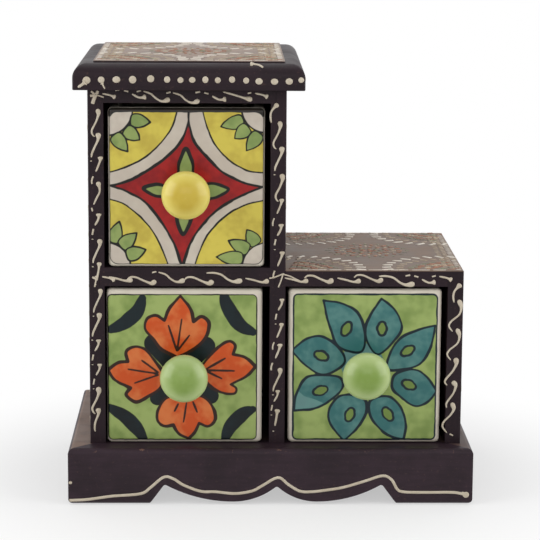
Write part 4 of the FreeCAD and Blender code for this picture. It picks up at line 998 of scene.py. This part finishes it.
# Rows of strokes on the front: each head's x and z, and the name of its stroke
CAP_RAIL = [(-67.5, 178.4, "flick"), (-54.4, 178.7, "snap"), (-44.2, 177.8, "rise"), (-31.5, 177.2, "rise"),
            (-20.0, 177.9, "snap"), (-8.8, 177.6, "lean"), (-2.0, 178.8, "flick")]
MIDDLE_RAIL = [(-68.3, 98.4, "flick"), (-60.7, 98.9, "sweep"), (-50.6, 98.4, "curl"), (-37.9, 98.7, "rise"),
               (-25.6, 98.4, "curl"), (-12.8, 98.5, "swell"), (-1.2, 98.4, "sweep")]
LOW_RAIL = [(16.0, 98.6, "sweep"), (26.8, 99.2, "curl"), (39.0, 98.6, "sweep"), (48.5, 99.5, "curl"),
            (62.6, 97.2, "swell"), (71.8, 97.9, "snap"), (79.0, 98.8, "flick")]
LEFT_STILE = [(-75.4, 173.4, "hook"), (-75.2, 163.0, "fall"), (-74.3, 152.8, "break"),
              (-75.4, 141.8, "bend"), (-75.2, 127.9, "drip"), (-74.9, 116.6, "fall"),
              (-75.0, 106.4, "straight"), (-74.8, 94.6, "fall"), (-75.4, 83.9, "fall"),
              (-75.7, 72.0, "drip"), (-75.3, 61.1, "drip"), (-76.2, 50.5, "hook"), (-76.2, 41.0, "foot")]
TOWER_RIGHT = [(2.3, 175.9, "turn"), (2.9, 168.3, "hook"), (4.0, 157.3, "fall"), (4.0, 145.4, "hook"),
               (4.1, 134.6, "break"), (4.0, 123.5, "drip"), (4.5, 111.4, "break")]
CENTRE_POST = [(4.6, 90.4, "drip"), (4.4, 79.5, "break"), (3.8, 70.2, "break"), (3.9, 59.3, "fall"),
               (3.0, 49.3, "drip"), (3.0, 40.6, "straight")]
RIGHT_STILE = [(82.9, 97.0, "turn"), (82.1, 90.0, "ess"), (81.6, 77.1, "ess"), (81.2, 63.9, "wave"),
               (80.0, 53.2, "curve"), (80.0, 43.6, "end")]
FRONT_ROWS = [*CAP_RAIL, *MIDDLE_RAIL, *LOW_RAIL, *LEFT_STILE, *TOWER_RIGHT, *CENTRE_POST, *RIGHT_STILE]
# Where two borders cross: the arms that meet there, each a line in mm with its size
CROSSINGS = [
    ([(-75.9, 179.6), (-76.8, 177.6), (-77.4, 175.6)], 2.2),
    ([(-76.0, 179.4), (-74.4, 179.0), (-72.6, 178.4)], 0.9),
    ([(-76.0, 179.4), (-78.4, 179.0)], 1.6),
    ([(-76.0, 179.4), (-75.0, 181.2)], 1.6),
    ([(-76.2, 179.6), (-78.0, 181.0)], 1.3),
    ([(5.0, 101.4), (1.6, 100.0), (-1.0, 99.4)], 0.9),
    ([(5.0, 101.4), (4.2, 98.6), (3.0, 95.4)], 0.9),
    ([(5.1, 101.2), (8.0, 100.4), (10.4, 99.2), (12.8, 98.0)], 0.85),
    ([(4.8, 101.3), (5.1, 101.0)], 2.0),
    ([(-75.2, 103.4), (-76.2, 100.0), (-77.2, 95.4)], 0.9),
    ([(-78.2, 99.8), (-75.8, 98.6)], 1.3),
]
# Borders on the sides: the strokes' spacing, kinds and flatness, and how far in mm rows stay from edges
STROKE_SPACING = 12.2
RAIL_KINDS = ["curl", "sweep", "rise", "snap"]
STILE_KINDS = ["hook", "fall", "break", "bend"]
SIDE_FLATNESS = 0.22
RAIL_DROP, RAIL_START, RAIL_END = 4.2, 8.0, 1.0
STILE_TOP, STILE_FOOT, STILE_INSET, BACK_STILE_INSET = 6.0, 10.0, 4.4, 3.0
WALL_CLEARANCE = 4.0
# The smallest size of a stroke, and how much larger others are
LEAST_STROKE, STROKE_VARIATION = 0.92, 0.16


def written(rows):
    """The strokes and the loose dashes of some rows. Their sizes vary a little, in a fixed order."""
    strokes, dashes = [], []
    for number, (x, z, kind) in enumerate(rows):
        tail, loose = STROKES[kind]
        size = LEAST_STROKE + STROKE_VARIATION * ((number * 5) % 7) / 6
        strokes.append(([(x + dx, z + dz) for dx, dz in tail], size))
        dashes += [([(x + dx, z + dz) for dx, dz in dash], size) for dash in loose]
    return strokes, dashes


def border_meshes(rows, face, place, flatness=0.5):
    """Head strokes and loose dashes on one face."""
    strokes, dashes = written(rows)
    return [strokes_mesh(strokes, face, place, HEAD_RADIUS, flatness=flatness),
            strokes_mesh(dashes, face, place, TAIL_RADIUS, flatness=flatness, taper=0.0, points=6)]


def make_front_trim():
    """The borders on the rails and stiles of the front, and what fills their crossings."""
    place = (0, box_of("tower_left_side")[0][1], 0)
    crossings = strokes_mesh(CROSSINGS, "front", place, TAIL_RADIUS, taper=0.0, points=12)
    trim_piece("front_trim", [*border_meshes(FRONT_ROWS, "front", place), crossings])


def border_row(start, end, level, kinds, upright):
    """A row of strokes along a line on a side of the case, at their usual spacing."""
    count = max(2, round(abs(end - start) / STROKE_SPACING))
    rows = []
    for number in range(count):
        along = start + (end - start) * (number + 0.8) / count
        wobble = 0.4 * math.sin(number * 2.3 + level)
        kind = kinds[number % len(kinds)]
        rows.append((level + wobble, along, kind) if upright else (along, level + wobble, kind))
    return rows


def make_side_trim(name, node, face, bottom):
    """The same border on a side of the case, down to a level in mm."""
    low, high = box_of(node)
    front, back, top = low[1], high[1], high[2]
    place = (high[0], 0, 0)
    if face == "left":
        front, back, place = -high[1], -low[1], (low[0], 0, 0)
    rows = border_row(front + RAIL_START, back - RAIL_END, top - RAIL_DROP, RAIL_KINDS, upright=False)
    for level in (front + STILE_INSET, back - BACK_STILE_INSET):
        rows += border_row(top - STILE_TOP, bottom + STILE_FOOT, level, STILE_KINDS, upright=True)
    trim_piece(name, border_meshes(rows, face, place, SIDE_FLATNESS))


def make_side_trims():
    """Borders on both outer sides and on the tower's wall above the low top."""
    plinth_top = box_of("plinth_front_apron")[1][2]
    low_top = box_of("low_top_board")[1][2]
    make_side_trim("tower_side_trim", "tower_left_side", "left", plinth_top)
    make_side_trim("low_side_trim", "low_right_side", "right", plinth_top)
    make_side_trim("tower_wall_trim", "centre_divider", "right", low_top + WALL_CLEARANCE)


# Cap: its moulded board, and the dots round its edge

CAP_DOTS = [(-79.5, 186.3, 1.15), (-73.3, 186.5, 1.0), (-66.8, 186.6, 1.05), (-59.9, 186.6, 1.0),
            (-52.2, 187.0, 0.95), (-45.2, 186.7, 0.9), (-39.5, 186.5, 0.85), (-34.5, 186.6, 0.9),
            (-28.9, 186.7, 0.92), (-23.6, 186.5, 0.9), (-17.5, 186.8, 0.98), (-11.5, 186.4, 0.88),
            (-6.0, 186.1, 1.0), (0.6, 186.0, 1.0), (6.9, 186.1, 1.0), (12.0, 186.7, 0.85)]
CAP_TAILS = [([(-80.0, 185.6), (-81.6, 184.3), (-83.2, 183.3)], 1.35),
             ([(-73.0, 185.2), (-72.4, 183.9), (-71.7, 182.6)], 0.7)]
STRAY_STROKE = [(-9.8, 1.4), (-8.2, 1.3), (-6.4, 0.9), (-5.0, -0.2), (-4.4, -1.2)]
STRAY_SIZE = 1.3
SIDE_DOT_START, SIDE_DOT_STEP, SIDE_DOT_LEVEL, SIDE_DOT_SIZE = 4.0, 6.6, 186.4, 0.95
# The board in mm: its corners, the round of its edge, its lower arris, its shoulder and its raised field
CAP_CORNER, CAP_ROUND, CAP_ARRIS, SHOULDER_DROP = 1.0, 6.0, 0.25, 1.2
FIELD_INSET, FIELD_DROP, FIELD_EDGE = 8.5, 0.3, 0.2
# An edge that turns by more degrees than this is a crease
CAP_CREASE = 40


def make_cap():
    """The moulded cap. Its field is a hair low, so its painted relief stays within the board's height."""
    low, high = box_of("cap_board")
    shoulder, field = high[2] - SHOULDER_DROP, high[2] - FIELD_DROP
    sides = [(CAP_ARRIS, CAP_CORNER, low[2]), (0, CAP_CORNER, low[2] + CAP_ARRIS)]
    sides += [(inset, CAP_CORNER + inset, shoulder - fall)
              for inset, fall in reversed(quarter(CAP_ROUND, 12))]
    steps = ((-0.1, shoulder), (0, shoulder + 0.12), (0, field - 0.3), (0.1, field - 0.08), (0.3, field))
    sides += [(FIELD_INSET + step, CAP_CORNER + FIELD_INSET, level) for step, level in steps]
    piece = mesh_from_rings("cap", [rounded_ring(low, high, *side) for side in sides])
    piece.data.set_sharp_from_angle(angle=math.radians(CAP_CREASE))
    piece.data.materials.append(CAP_WOOD)
    # The field's pale paint is partly dust and partly a painted sheen
    piece.data.materials.append(FIELD_DUST_AND_SHEEN_WOOD)
    for polygon in piece.data.polygons:
        if polygon.center.z > (field - FIELD_EDGE) * MM:
            polygon.material_index = 1
    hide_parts("cap_board")
    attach(piece, "case")


def make_cap_trim():
    """Dots on the cap's front and sides, with the tails of two of them and one stray stroke above."""
    low, high = box_of("cap_board")
    lean = math.radians(STRAY_LEAN)
    on_round = (0, low[1] + CAP_ROUND * (1 - math.cos(lean)),
                high[2] - SHOULDER_DROP - CAP_ROUND * (1 - math.sin(lean)))
    count = int((high[1] - low[1] - 2 * SIDE_DOT_START) / SIDE_DOT_STEP)
    row = [(low[1] + SIDE_DOT_START + SIDE_DOT_STEP * (number + 0.5), SIDE_DOT_LEVEL, SIDE_DOT_SIZE)
           for number in range(count)]
    mirrored = [(-y, z, size) for y, z, size in row]
    trim_piece("cap_trim", [
        dots_mesh(CAP_DOTS, "front", (0, low[1] + DOT_SINK, 0), flatness=0.32),
        strokes_mesh(CAP_TAILS, "front", (0, low[1], 0), HEAD_RADIUS),
        strokes_mesh([(STRAY_STROKE, STRAY_SIZE)], "brow", on_round, HEAD_RADIUS),
        dots_mesh(mirrored, "left", (low[0] + DOT_SINK, 0, 0), flatness=0.3),
        dots_mesh(row, "right", (high[0] - DOT_SINK, 0, 0), flatness=0.3)])


# Painted tops: feathered arcs round the corners, a medallion in the middle and a fringe along the ends

DAB_SEED = 11
DAB_RADIUS, DAB_FLATNESS, DAB_POINTS = 0.55, 0.28, 5
FEATHER_LENGTH, FEATHER_SLANT, FEATHERS = 4.6, 24, 10
# Where an arc starts and how far it turns, in degrees, for the feathers and for the dabs within them
FEATHER_FROM, FEATHER_TURN, CLUSTER_FROM, CLUSTER_TURN = 4, 82, 12, 66
# Inner arcs: how far apart they are in mm, and their feathers' length and size as shares of the outer ones
ARC_GAP, INNER_LENGTH, INNER_SIZE = 5.6, 0.7, 0.65
ARC_BULGE = 0.10
# Rings of the medallion: radius in mm, count, colour and size of the dabs
MEDALLION = ((18.0, 20, "green", 1.0), (15.0, 18, "orange", 1.4), (11.8, 16, "cream", 1.0),
             (8.8, 13, "orange", 1.5), (5.6, 9, "green", 1.3), (2.6, 5, "orange", 1.6))
MEDALLION_SQUASH = 0.95
# Arcs of dabs within the feathers: share of their reach, and colour. A full arc would have 15 dabs.
CLUSTER = ((0.70, "green"), (0.62, "orange"), (0.52, "cream"), (0.42, "orange"), (0.30, "green"),
           (0.18, "orange"))
CLUSTER_DABS = 15
FRINGE_START, FRINGE_SPARE, FRINGE_STEP, FRINGE_TILT, FRINGE_LENGTH = 2.6, 4, 3.6, 34, 2.3
# In mm: the first row from the board's end, the step to the next row, and how far back that one is set
FRINGE_INSET, FRINGE_ROW, FRINGE_SHIFT = 1.9, 2.7, 1.1
EDGE_INSET, EDGE_START, EDGE_END, EDGE_SIZE = 1.3, 3.0, 8.0, 0.8


def dab(x, y, angle, length, size):
    """A short dab of paint lying at an angle in degrees."""
    dx, dy = math.cos(math.radians(angle)) * length / 2, math.sin(math.radians(angle)) * length / 2
    return [(x - dx, y - dy), (x + dx, y + dy)], size


def add_corner_dabs(dabs, rng, corner, side, end, reach, rows):
    """Feathered arcs round a corner, the outer one white, and a cluster of dabs within them."""
    for row in range(rows):
        colour, longer, larger = ("white", 1, 1) if row == 0 else ("cream", INNER_LENGTH, INNER_SIZE)
        for number in range(FEATHERS):
            turn = math.radians(FEATHER_FROM + FEATHER_TURN * number / (FEATHERS - 1))
            out = (reach - row * ARC_GAP) * (1 + ARC_BULGE * math.sin(2 * turn))
            x, y = corner[0] + side * out * math.cos(turn), corner[1] + end * out * math.sin(turn)
            angle = math.degrees(turn) - FEATHER_SLANT
            length = FEATHER_LENGTH * longer * rng.uniform(0.85, 1.1)
            dabs[colour].append(dab(x, y, angle * side * end, length, rng.uniform(1.5, 1.85) * larger))
    for share, colour in CLUSTER:
        count = max(2, int(CLUSTER_DABS * share))
        for number in range(count):
            turn = math.radians(CLUSTER_FROM + CLUSTER_TURN * (number + 0.5) / count)
            x = corner[0] + side * reach * share * math.cos(turn) + rng.normal(0, 0.5)
            y = corner[1] + end * reach * share * math.sin(turn) + rng.normal(0, 0.5)
            angle, length = rng.uniform(-30, 30), rng.uniform(1.8, 3.4)
            dabs[colour].append(dab(x, y, angle, length, rng.uniform(1.0, 1.6)))


def add_medallion_dabs(dabs, rng, middle):
    """Rings of dabs round the middle."""
    for radius, count, colour, size in MEDALLION:
        for number in range(count):
            turn = 2 * math.pi * number / count
            x = middle[0] + radius * math.cos(turn) + rng.normal(0, 0.3)
            y = middle[1] + radius * math.sin(turn) * MEDALLION_SQUASH + rng.normal(0, 0.3)
            angle = math.degrees(turn) + rng.uniform(-20, 20)
            dabs[colour].append(dab(x, y, angle, rng.uniform(1.6, 3.0), size))


def add_fringe_dabs(dabs, rng, x, side, front, back, rows):
    """A fringe along one end: rows of slanting dabs, the outer row white."""
    for number in range(int((back - front - FRINGE_SPARE) / FRINGE_STEP)):
        for row in range(rows + 1):
            across = x + side * (FRINGE_INSET + FRINGE_ROW * row)
            y = front + FRINGE_START + FRINGE_STEP * number + row * FRINGE_SHIFT
            tilt = side * (FRINGE_TILT if row % 2 == 0 else -FRINGE_TILT)
            dabs["white" if row == 0 else "cream"].append(
                dab(across, y, tilt, FRINGE_LENGTH, rng.uniform(0.75, 1.0)))


def add_edge_dabs(dabs, rng, left, right, y):
    """A broken line of long dabs from left to right."""
    x = left + EDGE_START
    while x < right - EDGE_END:
        length = rng.uniform(5.0, 9.0)
        dabs["white"].append(dab(x + length / 2, y, 0, length, EDGE_SIZE))
        x += length + rng.uniform(0.6, 2.2)


def make_top_ornament(name, left, front, right, back, level, arc_share, rows, fringes):
    """The raised painting of a top board, its sides in mm."""
    rng = np.random.default_rng(DAB_SEED)
    dabs = {colour: [] for colour in DAB_PAINTS}
    for side, end in ((1, 1), (-1, 1), (1, -1), (-1, -1)):
        corner = (left if side > 0 else right, front if end > 0 else back)
        add_corner_dabs(dabs, rng, corner, side, end, (right - left) * arc_share, rows)
    add_medallion_dabs(dabs, rng, ((left + right) / 2, (front + back) / 2))
    for x, side in fringes:
        add_fringe_dabs(dabs, rng, x, side, front, back, rows)
    for y in (front + EDGE_INSET, back - EDGE_INSET):
        add_edge_dabs(dabs, rng, left, right, y)
    trim_piece(name, [strokes_mesh(dabs[colour], "top", (0, 0, level), DAB_RADIUS, material,
                                   flatness=DAB_FLATNESS, taper=0.0, points=DAB_POINTS)
                      for colour, material in DAB_PAINTS.items()])


def make_tops():
    """The paintings on the cap's field and on the low top."""
    low, high = box_of("cap_board")
    left, right = low[0] + FIELD_INSET, high[0] - FIELD_INSET
    make_top_ornament("cap_painting", left, low[1] + FIELD_INSET, right, high[1] - FIELD_INSET,
                      high[2] - FIELD_DROP, arc_share=0.46, rows=3, fringes=((left, 1), (right, -1)))
    low, high = box_of("low_top_board")
    wall = box_of("centre_divider")[1][0]
    make_top_ornament("low_top_painting", wall, low[1], high[0], high[1], high[2], arc_share=0.42, rows=2,
                      fringes=((high[0], -1),))


# Plinth: the line that follows its scallops, and its members with rounder arrises

APRON_LINE = [
    (-88.5, 1.8), (-80.6, 2.2), (-69.9, 3.7), (-57.3, 4.8), (-52.9, 7.6), (-47.0, 12.4), (-42.8, 11.6),
    (-38.4, 8.8), (-30.8, 5.9), (-24.5, 5.7), (-15.6, 4.9), (-8.1, 6.1), (-3.7, 8.5), (3.2, 12.2),
    (7.7, 9.0), (12.8, 6.0), (17.8, 5.7), (24.8, 6.5), (32.3, 7.8), (41.8, 10.7), (49.2, 13.0),
    (53.2, 11.2), (55.8, 6.8), (59.0, 5.6), (69.1, 5.4), (80.4, 5.4), (85.9, 4.4),
]
APRON_BLOBS = [(86.1, 4.3, 1.0), (84.7, 4.9, 0.6), (-88.0, 9.8, 0.5)]
APRON_LINE_WIDTH, APRON_LINE_POINTS = 1.3, 160
# The line on a side apron: shares of its length and of its height
SIDE_LINE = [(0.0, 0.18), (0.16, 0.2), (0.23, 0.34), (0.29, 0.5), (0.35, 0.36), (0.42, 0.26), (0.5, 0.23),
             (0.58, 0.26), (0.65, 0.36), (0.71, 0.5), (0.77, 0.34), (0.84, 0.2), (1.0, 0.18)]
SIDE_LINE_WOBBLE = 0.0012
# How strongly the ledges are worn and given a painted glare at the left and at the right, and from how far
# off the middle, in metres
LEFT_LEDGE_WEAR_AND_GLARE, RIGHT_LEDGE_WEAR_AND_GLARE, LEDGE_TURN = 1.0, 0.35, 0.025
# The solids' easing in mm, how many times larger it is here, and how near two measures count as one
EASING, EASING_GROWTH, CLOSE = 1.0, 2.4, 0.02
JOIN_DISTANCE = 0.001
# How long each foot is where it stands, in mm, and how far its inner side leans for each mm up
FRONT_LEFT_FOOT, FRONT_RIGHT_FOOT, SIDE_FOOT = 35.6, 33.4, 26.0
ANKLE_SLOPE = 6.7 / 9.1


def make_apron_trim():
    """The raised line along the front's scallops, with the blobs where it ends."""
    front = box_of("plinth_front_apron")[0][1]
    line = strokes_mesh([(APRON_LINE, 1.0)], "front", (0, front, 0), APRON_LINE_WIDTH / 2, taper=0.0,
                        points=APRON_LINE_POINTS)
    blobs = dots_mesh(APRON_BLOBS, "front", (0, front + DOT_SINK, 0), flatness=0.35)
    trim_piece("apron_trim", [line, blobs])


def foot_ends():
    """Where the feet of each scalloped member end, along it in mm."""
    front_low, front_high = box_of("plinth_front_apron")
    side_low, side_high = box_of("plinth_left_apron")
    side_feet = (side_low[1] + SIDE_FOOT, side_high[1] - SIDE_FOOT)
    return {"plinth_front_apron": (front_low[0] + FRONT_LEFT_FOOT, front_high[0] - FRONT_RIGHT_FOOT),
            "plinth_left_apron": side_feet, "plinth_right_apron": side_feet, "plinth_back_rail": ()}


def joined_copy(node):
    """A copy of a CAD node's mesh with its loose triangles joined. It keeps their shading in an attribute."""
    mesh = frame["nodes"][node].data.copy()
    shading = mesh.attributes.new("cad_normal", "FLOAT_VECTOR", "CORNER")
    shading.data.foreach_set("vector", [c for corner in mesh.corner_normals for c in corner.vector])
    joined = bmesh.new()
    joined.from_mesh(mesh)
    bmesh.ops.remove_doubles(joined, verts=joined.verts, dist=JOIN_DISTANCE * MM)
    joined.to_mesh(mesh)
    joined.free()
    return mesh


def round_member(node, name, axis, outward):
    """A plinth member with its outer arrises worn rounder: each easing grows about its own corner.

    Its outer face looks along an axis, outward or against it."""
    low, high = box_of(node)
    outer = high[axis] if outward > 0 else low[axis]
    feet = foot_ends()[node]
    mesh = joined_copy(node)
    for vertex in mesh.vertices:
        place = vertex.co / MM
        depth = (outer - place[axis]) * outward
        rise = min(place.z - low[2], high[2] - place.z)
        if max(depth, rise) > EASING + JOIN_DISTANCE:
            continue
        in_lower_half = place.z < high[2] / 2
        along = place[1 - axis]
        for end, inward in ((low[1 - axis], 1), (high[1 - axis], -1)):
            if abs(along - end - inward * depth) < CLOSE:
                along = end + inward * depth * EASING_GROWTH
        for foot in feet:
            if in_lower_half and abs(abs(along - foot) - rise * ANKLE_SLOPE) < CLOSE:
                along = foot + (along - foot) * EASING_GROWTH
        place[axis] = outer - outward * depth * EASING_GROWTH
        place[1 - axis] = along
        place.z = low[2] + rise * EASING_GROWTH if in_lower_half else high[2] - rise * EASING_GROWTH
        vertex.co = place * MM
    mesh.normals_split_custom_set([item.vector.copy() for item in mesh.attributes["cad_normal"].data])
    mesh.attributes.remove(mesh.attributes["cad_normal"])
    mesh.materials.clear()
    mesh.materials.append(NODE_MATERIALS.get(node, CROSS_WOOD))
    piece = add_object(name, mesh)
    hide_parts(node)
    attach(piece, "case")


def side_apron_material():
    """Painted wood with the line that follows the side's scallops painted on its outer face, and its ledge
    worn brown with a painted glare.
    """
    low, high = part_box("plinth_left_apron")
    half_width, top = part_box("plinth_right_apron")[1].x, high.z
    material = wood_material("side_apron_paint", "y", PLINTH_AUBERGINE, worn_line={0: half_width, 2: top})
    w, shader, place = opened(material)
    across, along, up = w.apart(place)
    share = w.node("ShaderNodeMapRange", Value=along, From_Min=low.y, From_Max=high.y).outputs[0]
    wobble = w.maths("MULTIPLY", w.maths("SUBTRACT", w.noise(place, 90.0), 0.5), SIDE_LINE_WOBBLE)
    height = w.maths("ADD", w.maths("MULTIPLY", w.float_curve(share, SIDE_LINE), top), wobble)
    away = w.maths("ABSOLUTE", w.maths("SUBTRACT", up, height))
    line = w.ramp(away, APRON_LINE_WIDTH * 0.4 * MM, APRON_LINE_WIDTH * 0.6 * MM, to_low=1.0, to_high=0.0)
    on_outer_face = w.ramp(w.maths("ABSOLUTE", across), half_width - 0.00025, half_width - 0.0001)
    line = w.maths("MULTIPLY", line, on_outer_face)
    under = shader.inputs["Base Color"].links[0].from_socket
    # The ledges' tops: wear together with a painted glare, the left ledge lighter than the right
    on_ledge = on_top_face(w, up, top, softness=0.0004)
    left_most = w.ramp(across, -LEDGE_TURN, LEDGE_TURN, LEFT_LEDGE_WEAR_AND_GLARE, RIGHT_LEDGE_WEAR_AND_GLARE)
    patchy = w.ramp(w.noise(place, 110.0, detail=3.0), 0.3, 0.55, to_low=0.7)
    worn = w.maths("MULTIPLY", w.maths("MULTIPLY", on_ledge, left_most), patchy)
    w.join(w.blend(line, w.blend(worn, under, LEDGE_WEAR_AND_GLARE_BROWN), TRIM_WHITE), shader.inputs["Base Color"])
    return material


# Lights, floor, backdrop and camera

# The camera fitted to the photograph: frame and focal length in pixels, place in mm, angles in degrees
PHOTO_FRAME = 540
FOCAL_PIXELS = 2179.25
CAMERA_PLACE = (-21.166, -977.815, 277.232)
CAMERA_PITCH, CAMERA_YAW, CAMERA_ROLL = 10.548, 1.254, 0.351
SENSOR = 36.0
NEAREST_SEEN, FARTHEST_SEEN = 0.05, 20.0
WHITE = (1, 1, 1, 1)
FLOOR_HALF, FLOOR_LEVEL = 3.0, -0.0002
# In metres from the middle: up to where the floor is half faded, and from where it is plain white
FADE_START, FADE_END = 0.09, 0.2
# The strength of the light from all around, and the point in metres that the lamps face
AROUND = 0.42
LIT_POINT = (0, 0, 0.1)
# Name, place, width and height in metres, and power in watts
SOFTBOXES = [
    ("left_softbox", (-1.15, -0.42, 0.55), 0.9, 1.1, 9),
    ("right_softbox", (1.15, -0.42, 0.55), 0.9, 1.1, 8),
    ("front_softbox", (0.0, -1.5, 0.7), 1.4, 0.7, 3.5),
    ("top_softbox", (0.0, 0.3, 1.3), 1.2, 0.9, 3.5),
]


def set_camera():
    """The camera at the photograph's angle."""
    pitch, yaw, roll = (math.radians(angle) for angle in (CAMERA_PITCH, CAMERA_YAW, CAMERA_ROLL))
    forward = Vector((math.sin(yaw) * math.cos(pitch), math.cos(yaw) * math.cos(pitch), -math.sin(pitch)))
    level = Vector((math.cos(yaw), -math.sin(yaw), 0))
    above = level.cross(forward)
    right = level * math.cos(roll) + above * math.sin(roll)
    up = above * math.cos(roll) - level * math.sin(roll)
    data = bpy.data.cameras.new("camera")
    data.sensor_width = SENSOR
    data.lens = FOCAL_PIXELS / PHOTO_FRAME * SENSOR
    data.clip_start, data.clip_end = NEAREST_SEEN, FARTHEST_SEEN
    camera = add_object("camera", data)
    turn = Matrix((right, up, -forward)).transposed().to_4x4()
    camera.matrix_world = Matrix.Translation(Vector(CAMERA_PLACE) * MM) @ turn
    bpy.context.scene.camera = camera


def make_floor():
    """A wide pale floor: it keeps the soft shadow near the object and runs out to plain white."""
    corners = [(x * FLOOR_HALF, y * FLOOR_HALF, FLOOR_LEVEL) for x, y in ((-1, -1), (1, -1), (1, 1), (-1, 1))]
    mesh = bpy.data.meshes.new("floor")
    mesh.from_pydata(corners, [], [(0, 1, 2, 3)])
    floor = add_object("floor", mesh)
    material, w, shader, place = new_material("pale_floor")
    shader.inputs["Base Color"].default_value = paint(244, 244, 244)
    shader.inputs["Roughness"].default_value = 0.9
    shader.inputs["Specular IOR Level"].default_value = 0.1
    away = w.node("ShaderNodeVectorMath", {"operation": "LENGTH"}, Vector=place).outputs["Value"]
    path = w.node("ShaderNodeLightPath")
    seen = w.maths("MAXIMUM", path.outputs["Is Glossy Ray"], path.outputs["Is Transmission Ray"])
    faded = w.maths("MULTIPLY", path.outputs["Is Camera Ray"], w.ramp(away, FADE_START, FADE_END, to_low=0.5))
    white = w.node("ShaderNodeEmission", Color=WHITE, Strength=1.0)
    mix = w.node("ShaderNodeMixShader")
    w.join(w.maths("MAXIMUM", seen, faded), mix.inputs[0])
    w.join(shader.outputs[0], mix.inputs[1])
    w.join(white.outputs[0], mix.inputs[2])
    w.join(mix.outputs[0], material.node_tree.nodes["Material Output"].inputs["Surface"])
    mesh.materials.append(material)


def add_softbox(name, place, width, height, power):
    """An oblong lamp that faces the object."""
    data = bpy.data.lights.new(name, "AREA")
    data.shape = "RECTANGLE"
    data.size, data.size_y, data.energy = width, height, power
    lamp = add_object(name, data)
    lamp.location = place
    lamp.rotation_mode = "QUATERNION"
    lamp.rotation_quaternion = (Vector(LIT_POINT) - Vector(place)).to_track_quat("-Z", "Y")


def set_light():
    """Plain soft studio light, and a white ground behind everything."""
    world = bpy.data.worlds.new("studio")
    world.use_nodes = True
    bpy.context.scene.world = world
    w = Wiring(world.node_tree)
    around = world.node_tree.nodes["Background"]
    around.inputs["Strength"].default_value = AROUND
    around.inputs["Color"].default_value = WHITE
    path = w.node("ShaderNodeLightPath")
    seen = w.maths("MAXIMUM", path.outputs["Is Camera Ray"], path.outputs["Is Transmission Ray"])
    white = w.node("ShaderNodeBackground", Color=WHITE, Strength=1.0)
    mix = w.node("ShaderNodeMixShader")
    w.join(w.maths("MAXIMUM", seen, path.outputs["Is Glossy Ray"]), mix.inputs[0])
    w.join(around.outputs[0], mix.inputs[1])
    w.join(white.outputs[0], mix.inputs[2])
    w.join(mix.outputs[0], world.node_tree.nodes["World Output"].inputs["Surface"])
    for softbox in SOFTBOXES:
        add_softbox(*softbox)
    bpy.context.scene.view_settings.view_transform = "Standard"


# Dress the object

# The front apron's upper arris, by axis in metres, which hands have rubbed
FRONT_ARRIS = {1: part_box("plinth_front_apron")[0].y, 2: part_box("plinth_front_apron")[1].z}
CROSS_WOOD = wood_material("rail_paint", "x")
UPRIGHT_WOOD = wood_material("upright_paint", "z")
CAP_WOOD = wood_material("cap_paint", "x")
# The cap's field: a pale brown, partly dust and partly a painted sheen
FIELD_DUST_AND_SHEEN_WOOD = wood_material("cap_field_dust_and_sheen_paint", "x", FIELD_BROWN_DUST_AND_SHEEN, dust=0.3)
LOW_TOP_WOOD = low_top_material()
FRONT_APRON_WOOD = wood_material("front_apron_paint", "x", PLINTH_AUBERGINE, worn_line=FRONT_ARRIS)
SIDE_APRON_WOOD = side_apron_material()
BACK_WOOD = wood_material("back_board_paint", "z", BACK_BROWN, dust=0.3, roughness_shift=0.15)
METAL = steel_material()
SLOT_MATERIALS = {"painted_wood": CROSS_WOOD, "back_board": BACK_WOOD, "knob_steel": METAL,
                  "screw_steel": METAL}
NODE_MATERIALS = {
    "tower_left_side": UPRIGHT_WOOD, "centre_divider": UPRIGHT_WOOD, "low_right_side": UPRIGHT_WOOD,
    "plinth_front_apron": FRONT_APRON_WOOD, "low_top_board": LOW_TOP_WOOD,
    "plinth_left_apron": SIDE_APRON_WOOD, "plinth_right_apron": SIDE_APRON_WOOD,
    "upper_knob": knob_material("upper", KNOB_YELLOW, KNOB_STRAW_AND_HIGHLIGHT),
    "lower_knob": knob_material("lower", KNOB_GREEN, KNOB_PALE_AND_HIGHLIGHT),
    "side_knob": knob_material("side", KNOB_GREEN, KNOB_PALE_AND_HIGHLIGHT),
}


def dress_nodes():
    """Gives every CAD node that stays its own material, or that of its slot in the record."""
    for row in frame["record"]["subparts"]:
        material = NODE_MATERIALS.get(row["node"]) or SLOT_MATERIALS.get(row["material_slot"])
        if material:
            node = frame["nodes"][row["node"]]
            node.data.materials.clear()
            node.data.materials.append(material)


dress_nodes()
round_member("plinth_front_apron", "front_apron", axis=1, outward=-1)
round_member("plinth_left_apron", "left_apron", axis=0, outward=-1)
round_member("plinth_right_apron", "right_apron", axis=0, outward=1)
round_member("plinth_back_rail", "back_rail", axis=1, outward=1)
make_tub("upper", upper_painting, UPPER_GROUND, UPPER_LAYERS)
make_tub("lower", lower_painting, LOWER_GROUND, LOWER_LAYERS)
make_tub("side", side_painting, SIDE_GROUND, SIDE_LAYERS)
make_cap()
make_front_trim()
make_side_trims()
make_cap_trim()
make_tops()
make_apron_trim()
make_floor()
set_light()
set_camera()
